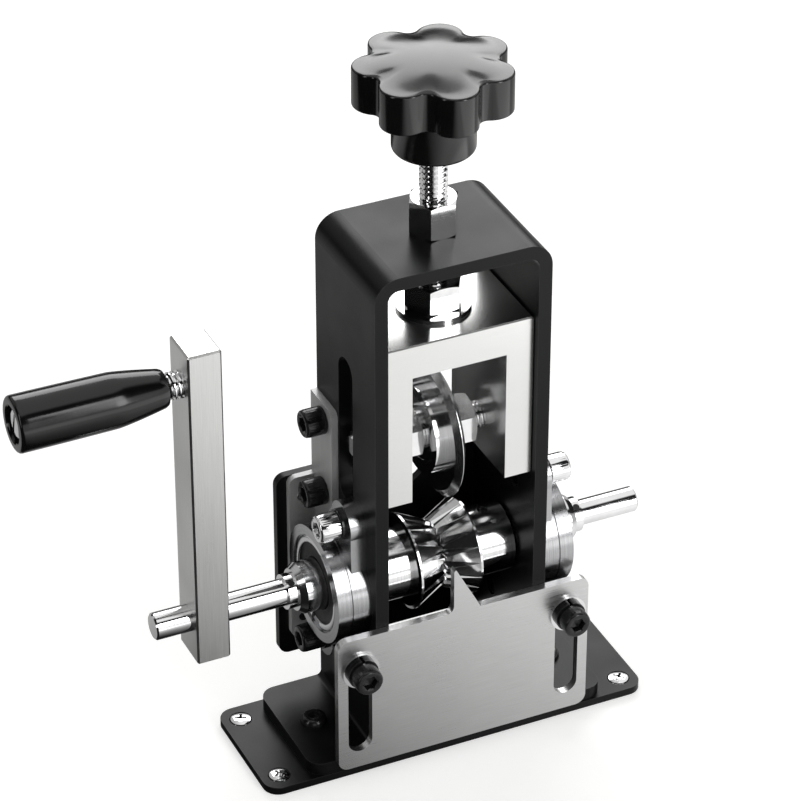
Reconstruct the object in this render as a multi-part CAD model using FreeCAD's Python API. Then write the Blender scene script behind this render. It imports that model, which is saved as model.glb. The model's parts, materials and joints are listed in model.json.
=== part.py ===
import FreeCAD, Part
import math
import os

# Hand crank wire stripper, in millimetres. +Z is up and the bench is at z = 0.
# +X runs along the drive shaft towards the drill stub, and the cable leaves towards -Y.
# The origin is the centre of the base plate's underside.

# ---- Clearances shared by all pieces -------------------------------------------
hole_gap = 0.05
seat_gap = 0.1
slide_gap = 0.3
run_gap = 0.04
race_gap = 0.1

# ---- Screws --------------------------------------------------------------------
m6_r = 3.0
m6_head_flare = 2.2
m6_head_height = 6.0
m6_socket = 5.0
socket_depth = 3.0
tall_head_height = 8.0
button_head_flare = 2.0
button_head_height = 2.8
button_socket_depth = 1.6
head_edge = 0.5
m4_r = 2.0
m4_head_flare = 1.6
m4_head_height = 2.4
grub_r = 2.0
set_screw_r = 1.25
screw_tip_gap = 0.3

# ---- Frame: one bent strap, and the base plate under its feet ---------------------
frame_width = 67.0
frame_depth = 50.0
strap = 5.0
bend_r = 4.0
foot_reach = 25.5
foot_bend_r = 2.0
foot_corner = 6.0
foot_screw_out = 14.0
base_thickness = 3.0
base_margin = 17.0
base_lip = 0.5
base_corner = 6.0
bench_hole_inset_x = 7.0
bench_hole_inset_y = 7.5
bench_hole_r = 2.25
bench_sink_depth = 1.95

# ---- Drive shaft and feed wheels -------------------------------------------------
shaft_r = 5.0
shaft_height = 66.5
shaft_chamfer = 0.6
wheel_r = 18.0
wheel_half_width = 12.8
wheel_rim_width = 1.4
wheel_side_bevel = 1.2
groove_depth = 5.5
wheel_split = 0.5
wheel_hub_wall = 8.0
wheel_hub_gap = 1.0
tooth_count = 18
tooth_depth = 3.2
tooth_angle = 56.0
tooth_run_out = 1.0
tooth_spare = 2.0
chuck_length = 23.5
stub_r = 4.75
stub_shoulder = 0.9

# ---- Shaft bearings, flanged to the frame's sides ----------------------------------
inner_ring_wall = 4.5
race_space = 6.3
outer_ring_wall = 2.5
housing_wall = 3.7
housing_depth = 13.0
housing_seam = 7.2
seam_width = 0.5
seam_depth = 0.5
ear_thickness = 6.0
ear_out = 9.0
ear_r = 8.5
ear_tilt = 16.4
ear_waist_in = 3.2
ring_depth = 10.4
ball_r = 3.4
ball_count = 9
ring_end_gap = 0.5
collar_length = 8.5
collar_taper = 2.4
collar_nose = 1.7
stop_ring_wall = 1.5
stop_ring_width = 3.5
set_screw_rise = 58.0
cage_wall = 1.1
cage_bar = 0.5
seal_thickness = 0.8
seal_inset = 0.2
snap_ring_width = 1.2
snap_ring_lip = 0.6
snap_ring_opening = 7.6
wall_hole_spare = 2.5
flange_washer_flare = 0.6
flange_washer_thickness = 1.6

# ---- Crank and handle ------------------------------------------------------------
arm_gap = 24.0
arm_thickness = 12.6
arm_width = 16.8
arm_below = 15.5
crank_radius = 98.3
arm_above = 15.0
arm_chamfer = 0.7
shaft_stub = 13.5
stud_r = 5.0
stud_bare = 5.3
pivot_r = 3.5
grip_length = 55.0
grip_r = 10.1
grip_waist_r = 9.8
grip_neck_r = 6.4
grip_taper = 19.0
grip_edge = 1.2
grip_recess_r = 6.6
grip_end_gap = 0.3
pivot_head_inset = 0.6
pivot_head_r = 5.4
pivot_head_height = 2.4
screw_slot_width = 1.5
screw_slot_depth = 1.2

# ---- Blade and its bearing -----------------------------------------------------------
travel_down = 16.0
travel_up = 13.0
blade_clear = 0.6
axle_r = 5.0
axle_overhang = 3.3
axle_chamfer = 0.8
small_ring_space = 8.0
small_ring_width = 8.0
small_ring_wall = 1.9
small_ball_r = 2.38
small_ball_count = 7
shield_thickness = 0.4
hub_wall = 1.0
hub_flange_step = 2.4
hub_flange_width = 4.0
hub_lip = 2.6
hub_nose_spare = 0.4
blade_land = 12.0
blade_thickness = 4.0
blade_bevel = 2.7
blade_edge = 0.2
lock_ring_step = 2.4
lock_ring_width = 1.6
lock_notch_count = 4
lock_notch_width = 2.4
lock_notch_depth = 1.0
axle_washer_thickness = 1.2
axle_washer_step = 2.5
axle_nut_flats = 17.0
axle_nut_height = 8.4
axle_nut_room = 2.4

# ---- Blade carriage -----------------------------------------------------------------
carriage_inset = 3.0
carriage_bar = 13.0
carriage_below_axle = 14.1
carriage_edge = 0.5
slot_side_gap = 1.0
slot_end_gap = 1.2
slot_above = 31.9

# ---- Feed spindle and knob ------------------------------------------------------------
spindle_r = 5.0
spindle_tail = 0.5
spindle_chamfer = 0.7
blade_to_spindle = 2.3
lock_nut_flats = 17.0
lock_nut_height = 7.0
thrust_nut_flats = 19.0
thrust_nut_height = 10.0
washer_border = 2.5
washer_thickness = 1.5
lower_washer_thickness = 1.5
head_room = 0.9
top_nut_flats = 16.0
top_nut_height = 13.0
knob_clear = 3.0
insert_wall = 3.0
insert_length = 24.0
insert_spare = 1.0
knob_hub_wall = 6.6
knob_hub_height = 18.0
knob_overhang = 13.4
knob_lobe_r = 9.0
knob_lobe_depth = 6.4
knob_lobes = 7
knob_phase = 8.2
knob_head_height = 15.2
knob_rim = 1.5
knob_crown = 2.2
knob_crown_margin = 2.0
knob_crown_slope = 9.0

# ---- Front plate ---------------------------------------------------------------------
plate_below_shaft = 7.4
plate_thickness = 3.0
plate_rise = 2.1
plate_corner = 4.0
plate_edge = 8.55
plate_screw_out = 7.7
plate_screw_drop = 13.4
plate_slot_gap = 1.7
plate_slot_foot = 7.0
plate_slot_spare = 0.3
plate_washer_bite = 2.3
plate_washer_thickness = 1.2
spring_washer_flare = 0.6
spring_washer_thickness = 2.0
spring_washer_slit = 1.2
lug_beyond = 5.8
lug_depth = 8.0
lug_below = 6.75
lug_above = 5.25
point_height = 18.7
point_left = 4.3
point_right = 6.3
point_tip = 0.7
point_root = 1.5
point_fillet = 3.0

# ---- Rear guide ----------------------------------------------------------------------
sheet = 2.5
flange_reach = 12.5
flange_above_shaft = 31.0
flange_below_shaft = 39.5
wing_depth = 18.0
wing_rise = 34.5
wing_overlap = 20.5
wing_relief = 1.3
wing_corner = 3.0
wing_screw_drop = 6.7
wing_screw_pitch = 30.0
wing_screw_inset = 10.5
rear_plate_thickness = 3.0
rear_plate_lip = 4.0
rear_plate_drop = 8.0
rear_plate_corner = 4.0
notch_width = 20.0
notch_lift = 1.5
rear_screw_inset = 8.5
rear_screw_out = 7.5

# ---- Radii that follow from the sizes above -------------------------------------------
m6_head_r = m6_r + m6_head_flare
m4_head_r = m4_r + m4_head_flare
wheel_hub_r = shaft_r + wheel_hub_wall
groove_r = wheel_r - groove_depth
inner_ring_r = shaft_r + inner_ring_wall
ring_bore_r = inner_ring_r + race_space
ring_outer_r = ring_bore_r + outer_ring_wall
housing_r = ring_outer_r + housing_wall
ball_circle_r = (ring_bore_r + inner_ring_r) / 2
wall_hole_r = inner_ring_r + wall_hole_spare
ear_reach = housing_r + ear_out
stop_ring_r = shaft_r + stop_ring_wall
small_ring_r = axle_r + small_ring_space
small_circle_r = (axle_r + small_ring_r) / 2
blade_bore_r = small_ring_r + hub_wall
blade_r = blade_bore_r + blade_land
plate_slot_r = m6_r + plate_slot_gap
insert_r = spindle_r + insert_wall
knob_hub_r = insert_r + knob_hub_wall
knob_r = knob_hub_r + knob_overhang

# ---- Places along X ----------------------------------------------------------------------
half_frame = frame_width / 2
wall_inside = half_frame - strap
toe = half_frame + foot_reach
base_half = toe + base_margin
foot_screw_x = half_frame + foot_screw_out
housing_face = half_frame + housing_depth
ring_left = housing_face - snap_ring_width - ring_depth
ball_x = ring_left + ring_depth / 2
wheel_hub_end = wall_inside - wheel_hub_gap
inner_ring_end = wheel_hub_end + ring_end_gap
collar_end = housing_face + collar_length
stop_ring_end = collar_end + stop_ring_width
arm_inner = stop_ring_end + arm_gap
arm_outer = arm_inner + arm_thickness
shaft_left = arm_outer + shaft_stub
shaft_right = stop_ring_end + chuck_length
shoulder_x = stop_ring_end + stub_shoulder
grip_inner = arm_outer + stud_bare
grip_outer = grip_inner + grip_length
blade_half = blade_thickness / 2
hub_left = -blade_half - hub_flange_width
small_ring_right = hub_left + small_ring_width
small_ring_x = (hub_left + small_ring_right) / 2
hub_right = blade_half + lock_ring_width + hub_nose_spare
left_nut_face = hub_left - axle_washer_thickness
right_nut_face = hub_right + axle_washer_thickness
carriage_half = wall_inside - slide_gap
leg_inside = axle_nut_height + axle_nut_room - left_nut_face
axle_half = carriage_half + axle_overhang
plate_screw_x = half_frame + plate_screw_out
plate_half = plate_screw_x + plate_edge
wing_face = half_frame + sheet
flange_end = half_frame + flange_reach
rear_screw_x = half_frame + rear_screw_out

# ---- Places along Y ------------------------------------------------------------------------
frame_front = -frame_depth / 2
frame_back = frame_depth / 2
plate_back = frame_front - seat_gap
plate_front = plate_back - plate_thickness
flat_washer_front = plate_front - seat_gap - plate_washer_thickness
plate_head_seat = flat_washer_front - spring_washer_thickness
lug_back = frame_front + lug_depth
flange_front = frame_back - sheet
rear_plate_back = frame_back + rear_plate_thickness
wing_front = frame_back - wing_depth
wing_screw_y = frame_back - wing_screw_inset

# ---- Places along Z --------------------------------------------------------------------------
base_top = base_thickness
ankle = base_top + strap
shaft_z = base_top + shaft_height
handle_z = shaft_z + crank_radius
blade_z = shaft_z + groove_r + blade_clear + travel_down + blade_r
lock_nut_base = blade_z + blade_r + blade_to_spindle + spindle_tail
lock_nut_top = lock_nut_base + lock_nut_height
bar_underside = lock_nut_top + seat_gap + lower_washer_thickness
carriage_top = bar_underside + carriage_bar
carriage_foot = blade_z - carriage_below_axle
thrust_nut_base = carriage_top + washer_thickness + seat_gap
thrust_nut_top = thrust_nut_base + thrust_nut_height
frame_ceiling = thrust_nut_top + travel_up + head_room
frame_top = frame_ceiling + strap
top_nut_top = frame_top + top_nut_height
knob_base = top_nut_top + travel_down + knob_clear
knob_head_base = knob_base + knob_hub_height
knob_head_top = knob_head_base + knob_head_height
insert_top = knob_base + insert_length
plate_bottom = base_top + plate_rise
plate_top = shaft_z - plate_below_shaft
plate_screw_z = plate_top - plate_screw_drop
flange_low = shaft_z - flange_below_shaft
flange_high = shaft_z + flange_above_shaft
wing_low = flange_high - wing_overlap
wing_top = flange_high + wing_rise
wing_screw_z = wing_top - wing_screw_drop
rear_plate_low = flange_low - rear_plate_drop
notch_floor = shaft_z + groove_r + notch_lift

X = FreeCAD.Vector(1, 0, 0)
Y = FreeCAD.Vector(0, 1, 0)
Z = FreeCAD.Vector(0, 0, 1)
CENTRE = FreeCAD.Vector(0, 0, 0)
SHAFT_AXIS = FreeCAD.Vector(0, 0, shaft_z)
BLADE_AXIS = FreeCAD.Vector(0, 0, blade_z)
NEAR = 0.01
PAST = 1.0


# ---- Helpers ---------------------------------------------------------------------------
def block(x_from, x_to, y_from, y_to, z_from, z_to):
    """A box between two corners."""
    corner = FreeCAD.Vector(x_from, y_from, z_from)
    return Part.makeBox(x_to - x_from, y_to - y_from, z_to - z_from, corner)


def rod_x(radius, x_from, x_to, y=0.0, z=0.0):
    """A cylinder along X."""
    return Part.makeCylinder(radius, x_to - x_from, FreeCAD.Vector(x_from, y, z), X)


def rod_y(radius, y_from, y_to, x=0.0, z=0.0):
    """A cylinder along Y."""
    return Part.makeCylinder(radius, y_to - y_from, FreeCAD.Vector(x, y_from, z), Y)


def rod_z(radius, z_from, z_to, x=0.0, y=0.0):
    """A cylinder along Z."""
    return Part.makeCylinder(radius, z_to - z_from, FreeCAD.Vector(x, y, z_from), Z)


def tube_x(outer_r, inner_r, x_from, x_to, z):
    """A ring about an axis along X."""
    return rod_x(outer_r, x_from, x_to, 0, z).cut(rod_x(inner_r, x_from, x_to, 0, z))


def tube_y(outer_r, inner_r, y_from, y_to, x, z):
    """A ring about an axis along Y."""
    return rod_y(outer_r, y_from, y_to, x, z).cut(rod_y(inner_r, y_from, y_to, x, z))


def tube_z(outer_r, inner_r, z_from, z_to):
    """A ring about the spindle's axis."""
    return rod_z(outer_r, z_from, z_to).cut(rod_z(inner_r, z_from, z_to))


def turned_x(profile, z):
    """A solid turned about an axis along X from (x, radius) points."""
    points = [FreeCAD.Vector(x, 0, z + radius) for x, radius in profile]
    face = Part.Face(Part.makePolygon(points + points[:1]))
    return face.revolve(FreeCAD.Vector(0, 0, z), X, 360)


def aimed(shape, at, along):
    """Turn a shape made along +Z to a direction, and move its origin to a point."""
    turn = FreeCAD.Rotation(Z, along)
    return shape.transformed(FreeCAD.Placement(at, turn).toMatrix())


def hexagon(flats, z_from, z_to):
    """A hexagonal prism about Z."""
    corner_r = flats / math.sqrt(3)
    angles = [math.radians(60 * step) for step in range(7)]
    points = [FreeCAD.Vector(corner_r * math.cos(a), corner_r * math.sin(a), z_from) for a in angles]
    return Part.Face(Part.makePolygon(points)).extrude(Z * (z_to - z_from))


def nut(flats, height, bore_r, at, along):
    """A hexagonal nut whose corners are turned off at both ends."""
    flank = flats / 2
    reach = flank + height
    body = hexagon(flats, 0, height)
    rising = Part.makeCone(flank, flank + 2 * reach, reach)
    falling = Part.makeCone(flank + 2 * reach, flank, reach, FreeCAD.Vector(0, 0, height - reach))
    body = body.common(rising).common(falling).cut(Part.makeCylinder(bore_r, height))
    return aimed(body, at, along)


def socket_screw(head_r, head_height, depth, shank_length, at, along):
    """An M6 socket screw: its head stands along the direction, its shank runs the other way."""
    head = Part.makeCylinder(head_r, head_height)
    rim = [edge for edge in head.Edges if edge.BoundBox.ZMin > head_height - NEAR]
    head = head.makeFillet(min(head_edge, head_height / 3), rim)
    head = head.cut(hexagon(m6_socket, head_height - depth, head_height))
    shank = Part.makeCylinder(m6_r, shank_length, CENTRE, Z * -1)
    return aimed(head.fuse(shank).removeSplitter(), at, along)


def edges_along(shape, axis):
    """The straight edges of a shape that run along one axis."""
    chosen = []
    for edge in shape.Edges:
        run = edge.Vertexes[-1].Point - edge.Vertexes[0].Point
        if run.Length > NEAR and abs(abs(run.normalize().dot(axis)) - 1) < NEAR:
            chosen.append(edge)
    return chosen


def edges_at(shape, x, z):
    """The edges along Y that pass through one place in X and Z."""
    chosen = []
    for edge in edges_along(shape, Y):
        middle = edge.CenterOfMass
        if abs(middle.x - x) < NEAR and abs(middle.z - z) < NEAR:
            chosen.append(edge)
    return chosen


def end_edges(rod):
    """The circles at the two ends of a rod along X."""
    chosen = []
    for edge in rod.Edges:
        x = edge.CenterOfMass.x
        to_end = min(x - rod.BoundBox.XMin, rod.BoundBox.XMax - x)
        if edge.BoundBox.XLength < NEAR and to_end < NEAR:
            chosen.append(edge)
    return chosen


def flipped(shape):
    """The same piece on the other side of the machine."""
    return shape.mirror(CENTRE, X)


def both_sides(shape):
    """A piece and its twin on the other side, as one group."""
    return Part.makeCompound([shape, flipped(shape)])


# ---- Base and frame ------------------------------------------------------------------------
def base_plate():
    """Flat plate with four countersunk bench holes and a tapped hole under each foot."""
    front = frame_front - base_lip
    back = frame_back + base_lip
    plate = block(-base_half, base_half, front, back, 0, base_top)
    plate = plate.makeFillet(base_corner, edges_along(plate, Z))
    sink_r = bench_hole_r + bench_sink_depth
    for side in (-1, 1):
        plate = plate.cut(rod_z(m6_r + hole_gap, 0, base_top, side * foot_screw_x))
        for y in (front + bench_hole_inset_y, back - bench_hole_inset_y):
            x = side * (base_half - bench_hole_inset_x)
            sink_at = FreeCAD.Vector(x, y, base_top - bench_sink_depth)
            sink = Part.makeCone(bench_hole_r, sink_r, bench_sink_depth, sink_at)
            plate = plate.cut(rod_z(bench_hole_r, 0, base_top, x, y)).cut(sink)
    return plate


def strap_outline():
    """The strap's section with square corners: two feet, two legs and the top."""
    right = [
        (wall_inside, base_top),
        (toe, base_top),
        (toe, ankle),
        (half_frame, ankle),
        (half_frame, frame_top),
    ]
    left = [(-x, z) for x, z in reversed(right)]
    inner = [(-wall_inside, frame_ceiling), (wall_inside, frame_ceiling)]
    points = [FreeCAD.Vector(x, frame_front, z) for x, z in right + left + inner]
    return Part.Face(Part.makePolygon(points + points[:1]))


def main_frame():
    """The strap bent to an upside-down U, with every hole that the other pieces use."""
    body = strap_outline().extrude(Y * frame_depth)
    for side in (-1, 1):
        body = body.makeFillet(bend_r, edges_at(body, side * wall_inside, frame_ceiling))
        body = body.makeFillet(bend_r + strap, edges_at(body, side * half_frame, frame_top))
        body = body.makeFillet(foot_bend_r, edges_at(body, side * half_frame, ankle))
        body = body.makeFillet(foot_bend_r + strap, edges_at(body, side * wall_inside, base_top))
    toes = [edge for edge in edges_along(body, Z) if abs(edge.CenterOfMass.x) > toe - NEAR]
    body = body.makeFillet(foot_corner, toes)
    body = body.cut(rod_z(spindle_r + slide_gap, frame_ceiling, frame_top))
    for side in (-1, 1):
        body = body.cut(rod_z(m6_r + slide_gap, base_top, ankle, side * foot_screw_x))
    return body.cut(side_cutters())


def side_cutters():
    """Shaft hole, axle slot and screw holes, cut through both legs at once."""
    reach = half_frame + PAST
    r = axle_r + slot_side_gap
    low = blade_z - travel_down - axle_r - slot_end_gap + r
    high = blade_z + axle_r + slot_above - r
    cutters = [
        rod_x(wall_hole_r, -reach, reach, 0, shaft_z),
        block(-reach, reach, -r, r, low, high),
        rod_x(r, -reach, reach, 0, low),
        rod_x(r, -reach, reach, 0, high),
    ]
    for y, z in ear_places() + wing_screw_places():
        cutters.append(rod_x(m6_r + hole_gap, -reach, reach, y, z))
    return Part.makeCompound(cutters)


def ear_places():
    """Where the two ears of a bearing flange are, in Y and Z: the upper one leans forward."""
    y = ear_reach * math.sin(math.radians(ear_tilt))
    z = ear_reach * math.cos(math.radians(ear_tilt))
    return [(-y, shaft_z + z), (y, shaft_z - z)]


def wing_screw_places():
    """Where a rear bracket is screwed to the leg, in Y and Z."""
    return [(wing_screw_y, wing_screw_z), (wing_screw_y, wing_screw_z - wing_screw_pitch)]


def foot_screws():
    """Low socket screws that hold each foot to the base plate."""
    at = FreeCAD.Vector(foot_screw_x, 0, ankle)
    head_r = m6_r + button_head_flare
    screw = socket_screw(head_r, button_head_height, button_socket_depth, ankle, at, Z)
    return both_sides(screw)


def top_nut():
    """The long nut on the frame's top that the spindle screws through."""
    at = FreeCAD.Vector(0, 0, frame_top)
    return nut(top_nut_flats, top_nut_height, spindle_r + run_gap, at, Z)


# ---- Front plate ---------------------------------------------------------------------------
def front_plate():
    """Steel plate with a pointed tooth and an upright slot at each side."""
    plate = block(-plate_half, plate_half, plate_front, plate_back, plate_bottom, plate_top)
    plate = plate.makeFillet(plate_corner, edges_along(plate, Y))
    plate = plate.fuse(plate_point()).removeSplitter()
    plate = plate.makeFillet(point_fillet, edges_at(plate, -point_left, plate_top))
    for side in (-1, 1):
        plate = plate.cut(plate_slot(side * plate_screw_x))
    return plate


def plate_point():
    """The tooth that opens the slit cable: upright on its left, sloping on its right."""
    tip = plate_top + point_height
    root = plate_top - point_root
    outline = [
        (-point_left, root),
        (point_right, root),
        (point_right, plate_top),
        (-point_left + point_tip, tip),
        (-point_left, tip - point_tip),
    ]
    points = [FreeCAD.Vector(x, plate_front, z) for x, z in outline]
    return Part.Face(Part.makePolygon(points + points[:1])).extrude(Y * plate_thickness)


def plate_slot(x):
    """The cutter of one slot with round ends; its screw rests near the top end."""
    r = plate_slot_r
    low = plate_bottom + plate_slot_foot + r
    high = plate_screw_z + plate_slot_spare
    body = block(x - r, x + r, plate_front, plate_back, low, high)
    ends = [rod_y(r, plate_front, plate_back, x, z) for z in (low, high)]
    return body.fuse(ends)


def plate_lugs():
    """Tapped lugs welded to the outside of each leg, behind the front plate."""
    low = plate_screw_z - lug_below
    high = plate_screw_z + lug_above
    lug = block(half_frame, plate_screw_x + lug_beyond, frame_front, lug_back, low, high)
    tapping = rod_y(m6_r + hole_gap, frame_front, lug_back, plate_screw_x, plate_screw_z)
    return both_sides(lug.cut(tapping))


def plate_washers():
    """Flat washers that bridge the slots of the front plate."""
    back = flat_washer_front + plate_washer_thickness
    outer = plate_slot_r + plate_washer_bite
    inner = m6_r + slide_gap
    return both_sides(tube_y(outer, inner, flat_washer_front, back, plate_screw_x, plate_screw_z))


def plate_spring_washers():
    """Split spring washers under the screw heads."""
    x = plate_screw_x
    z = plate_screw_z
    outer = m6_head_r + spring_washer_flare
    half_slit = spring_washer_slit / 2
    washer = tube_y(outer, m6_r + slide_gap, plate_head_seat, flat_washer_front, x, z)
    slit = block(x - half_slit, x + half_slit, plate_head_seat, flat_washer_front, z, z + outer)
    return both_sides(washer.cut(slit))


def plate_screws():
    """Socket cap screws that clamp the front plate to its lugs."""
    at = FreeCAD.Vector(plate_screw_x, plate_head_seat, plate_screw_z)
    length = lug_back - plate_head_seat
    screw = socket_screw(m6_head_r, m6_head_height, socket_depth, length, at, Y * -1)
    return both_sides(screw)


# ---- Rear guide ---------------------------------------------------------------------------
def guide_bracket():
    """Right-hand sheet bracket: a wing on the leg and a flange that turns outwards."""
    wing = block(half_frame, wing_face, wing_front, frame_back, wing_low, wing_top)
    corners = [edge for edge in edges_along(wing, X) if edge.CenterOfMass.y < wing_front + NEAR]
    wing = wing.makeFillet(wing_corner, corners)
    wing = wing.cut(rod_x(housing_r + wing_relief, half_frame, wing_face, 0, shaft_z))
    flange = block(half_frame, flange_end, flange_front, frame_back, flange_low, flange_high)
    corners = [edge for edge in edges_along(flange, Y) if edge.CenterOfMass.x > flange_end - NEAR]
    flange = flange.makeFillet(wing_corner, corners)
    flange = flange.cut(rod_x(housing_r + slide_gap, half_frame, flange_end, 0, shaft_z))
    bracket = wing.fuse(flange).removeSplitter()
    for y, z in wing_screw_places():
        bracket = bracket.cut(rod_x(m6_r + slide_gap, half_frame, wing_face, y, z))
    for z in rear_screw_heights():
        bracket = bracket.cut(rod_y(m4_r + hole_gap, flange_front, frame_back, rear_screw_x, z))
    return bracket


def rear_screw_heights():
    """The heights of the two screws between the rear plate and a flange."""
    return [flange_low + rear_screw_inset, flange_high - rear_screw_inset]


def bracket_screws():
    """Cap screws that hold both brackets to the legs."""
    length = sheet + strap - screw_tip_gap
    screws = []
    for y, z in wing_screw_places():
        at = FreeCAD.Vector(wing_face, y, z)
        screws.append(socket_screw(m6_head_r, tall_head_height, socket_depth, length, at, X))
    return both_sides(Part.makeCompound(screws))


def rear_guide_plate():
    """Plate behind the frame with a round-bottomed notch that leads the cable in."""
    half = flange_end + rear_plate_lip
    back = rear_plate_back
    plate = block(-half, half, frame_back, back, rear_plate_low, flange_high)
    plate = plate.makeFillet(rear_plate_corner, edges_along(plate, Y))
    r = notch_width / 2
    notch = block(-r, r, frame_back, back, notch_floor + r, flange_high + PAST)
    plate = plate.cut(notch.fuse(rod_y(r, frame_back, back, 0, notch_floor + r)))
    for side in (-1, 1):
        for z in rear_screw_heights():
            plate = plate.cut(rod_y(m4_r + slide_gap, frame_back, back, side * rear_screw_x, z))
    return plate


def guide_plate_screws():
    """Small screws from behind that join the rear plate to the flanges."""
    head_top = rear_plate_back + m4_head_height
    screws = []
    for z in rear_screw_heights():
        shank = rod_y(m4_r, flange_front, rear_plate_back, rear_screw_x, z)
        head = rod_y(m4_head_r, rear_plate_back, head_top, rear_screw_x, z)
        screws.append(shank.fuse(head).removeSplitter())
    return both_sides(Part.makeCompound(screws))


# ---- Shaft bearings ------------------------------------------------------------------------
def bearing_housing():
    """Right-hand flanged housing: a round boss with two ears, open to the shaft."""
    boss = rod_x(housing_r, half_frame, housing_face, 0, shaft_z)
    body = boss.fuse(ear_plate()).removeSplitter()
    seam_at = half_frame + housing_seam
    seam = tube_x(housing_r + PAST, housing_r - seam_depth, seam_at, seam_at + seam_width, shaft_z)
    body = body.cut(seam)
    body = body.cut(rod_x(ring_outer_r, ring_left, housing_face, 0, shaft_z))
    body = body.cut(rod_x(wall_hole_r, half_frame, ring_left, 0, shaft_z))
    for y, z in ear_places():
        body = body.cut(rod_x(m6_r + slide_gap, half_frame, half_frame + ear_thickness, y, z))
    return body


def ear_plate():
    """The flange's two ears, and the web that narrows towards each of them."""
    face = half_frame + ear_thickness
    waist = housing_r - ear_waist_in
    outline = [
        (-ear_r, ear_reach),
        (ear_r, ear_reach),
        (waist, 0),
        (ear_r, -ear_reach),
        (-ear_r, -ear_reach),
        (-waist, 0),
    ]
    points = [FreeCAD.Vector(half_frame, y, shaft_z + z) for y, z in outline]
    web = Part.Face(Part.makePolygon(points + points[:1])).extrude(X * ear_thickness)
    web.rotate(SHAFT_AXIS, X, ear_tilt)
    ears = [rod_x(ear_r, half_frame, face, y, z) for y, z in ear_places()]
    return web.fuse(ears)


def flange_washers():
    """Washers under the screws of the bearing flanges."""
    inner = half_frame + ear_thickness
    outer = inner + flange_washer_thickness
    outer_r = m6_head_r + flange_washer_flare
    washers = []
    for y, z in ear_places():
        washer = rod_x(outer_r, inner, outer, y, z)
        washers.append(washer.cut(rod_x(m6_r + slide_gap, inner, outer, y, z)))
    return both_sides(Part.makeCompound(washers))


def flange_screws(place):
    """Cap screws through the ears of both housings, at one of the two places."""
    y, z = place
    stack = flange_washer_thickness + ear_thickness
    at = FreeCAD.Vector(half_frame + stack, y, z)
    length = stack + strap - screw_tip_gap
    screw = socket_screw(m6_head_r, tall_head_height, socket_depth, length, at, X)
    return both_sides(screw)


def ball_groove(circle_r, ball, x, axis_at):
    """The round groove that the balls run in, as a cutter."""
    centre = axis_at + X * x
    return Part.makeTorus(circle_r, ball + race_gap, centre, X)


def outer_rings():
    """Outer rings of the two shaft bearings."""
    ring = tube_x(ring_outer_r, ring_bore_r, ring_left, ring_left + ring_depth, shaft_z)
    return both_sides(ring.cut(ball_groove(ball_circle_r, ball_r, ball_x, SHAFT_AXIS)))


def inner_ring():
    """Right-hand inner ring, with the long collar that stands out of the housing."""
    bore = shaft_r + hole_gap
    profile = [
        (inner_ring_end, bore),
        (inner_ring_end, inner_ring_r),
        (collar_end - collar_taper, inner_ring_r),
        (collar_end, inner_ring_r - collar_nose),
        (collar_end, bore),
    ]
    ring = turned_x(profile, shaft_z)
    return ring.cut(ball_groove(ball_circle_r, ball_r, ball_x, SHAFT_AXIS))


def snap_rings():
    """Open snap rings that keep the bearings in their housings."""
    left = housing_face - snap_ring_width
    half = snap_ring_opening / 2
    ring = tube_x(ring_outer_r, ring_bore_r - snap_ring_lip, left, housing_face, shaft_z)
    opening = block(left, housing_face, -half, half, shaft_z - ring_outer_r - PAST, shaft_z)
    return both_sides(ring.cut(opening))


def seals():
    """Seals on both faces of the two shaft bearings."""
    outer_left = ring_left + ring_depth - seal_inset - seal_thickness
    pieces = []
    for left in (ring_left + seal_inset, outer_left):
        inner = inner_ring_r + slide_gap
        pieces.append(tube_x(ring_bore_r, inner, left, left + seal_thickness, shaft_z))
    return both_sides(Part.makeCompound(pieces))


def balls(count, circle_r, radius, x, axis_at):
    """A full ring of bearing balls."""
    pieces = []
    for step in range(count):
        angle = 2 * math.pi * step / count
        out = FreeCAD.Vector(x, circle_r * math.cos(angle), circle_r * math.sin(angle))
        pieces.append(Part.makeSphere(radius, axis_at + out))
    return Part.makeCompound(pieces)


def cage(count, circle_r, radius, x, axis_at):
    """The ring that spaces the balls."""
    half = radius + race_gap + cage_bar
    outer_r = circle_r + cage_wall / 2
    ring = tube_x(outer_r, outer_r - cage_wall, x - half, x + half, axis_at.z)
    return ring.cut(balls(count, circle_r, radius + race_gap, x, axis_at))


def stop_ring():
    """Small ring on the shaft against the right-hand bearing's collar."""
    ring = tube_x(stop_ring_r, shaft_r + hole_gap, collar_end, stop_ring_end, shaft_z)
    return ring.cut(set_screw(set_screw_r + hole_gap, 0, stop_ring_r + PAST))


def set_screw(radius, inner, outer):
    """A radial pin in the stop ring that points up and forward, between two radii."""
    angle = math.radians(set_screw_rise)
    along = FreeCAD.Vector(0, -math.cos(angle), math.sin(angle))
    middle = SHAFT_AXIS + X * ((collar_end + stop_ring_end) / 2)
    return Part.makeCylinder(radius, outer - inner, middle + along * inner, along)


# ---- Drive shaft, feed wheels and crank -------------------------------------------------------
def drive_shaft():
    """Plain shaft from the crank, turned down at the stub that a drill chuck grips."""
    shaft = rod_x(shaft_r, -shaft_left, shoulder_x, 0, shaft_z)
    shaft = shaft.fuse(rod_x(stub_r, shoulder_x, shaft_right, 0, shaft_z))
    return shaft.makeChamfer(shaft_chamfer, end_edges(shaft))


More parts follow.
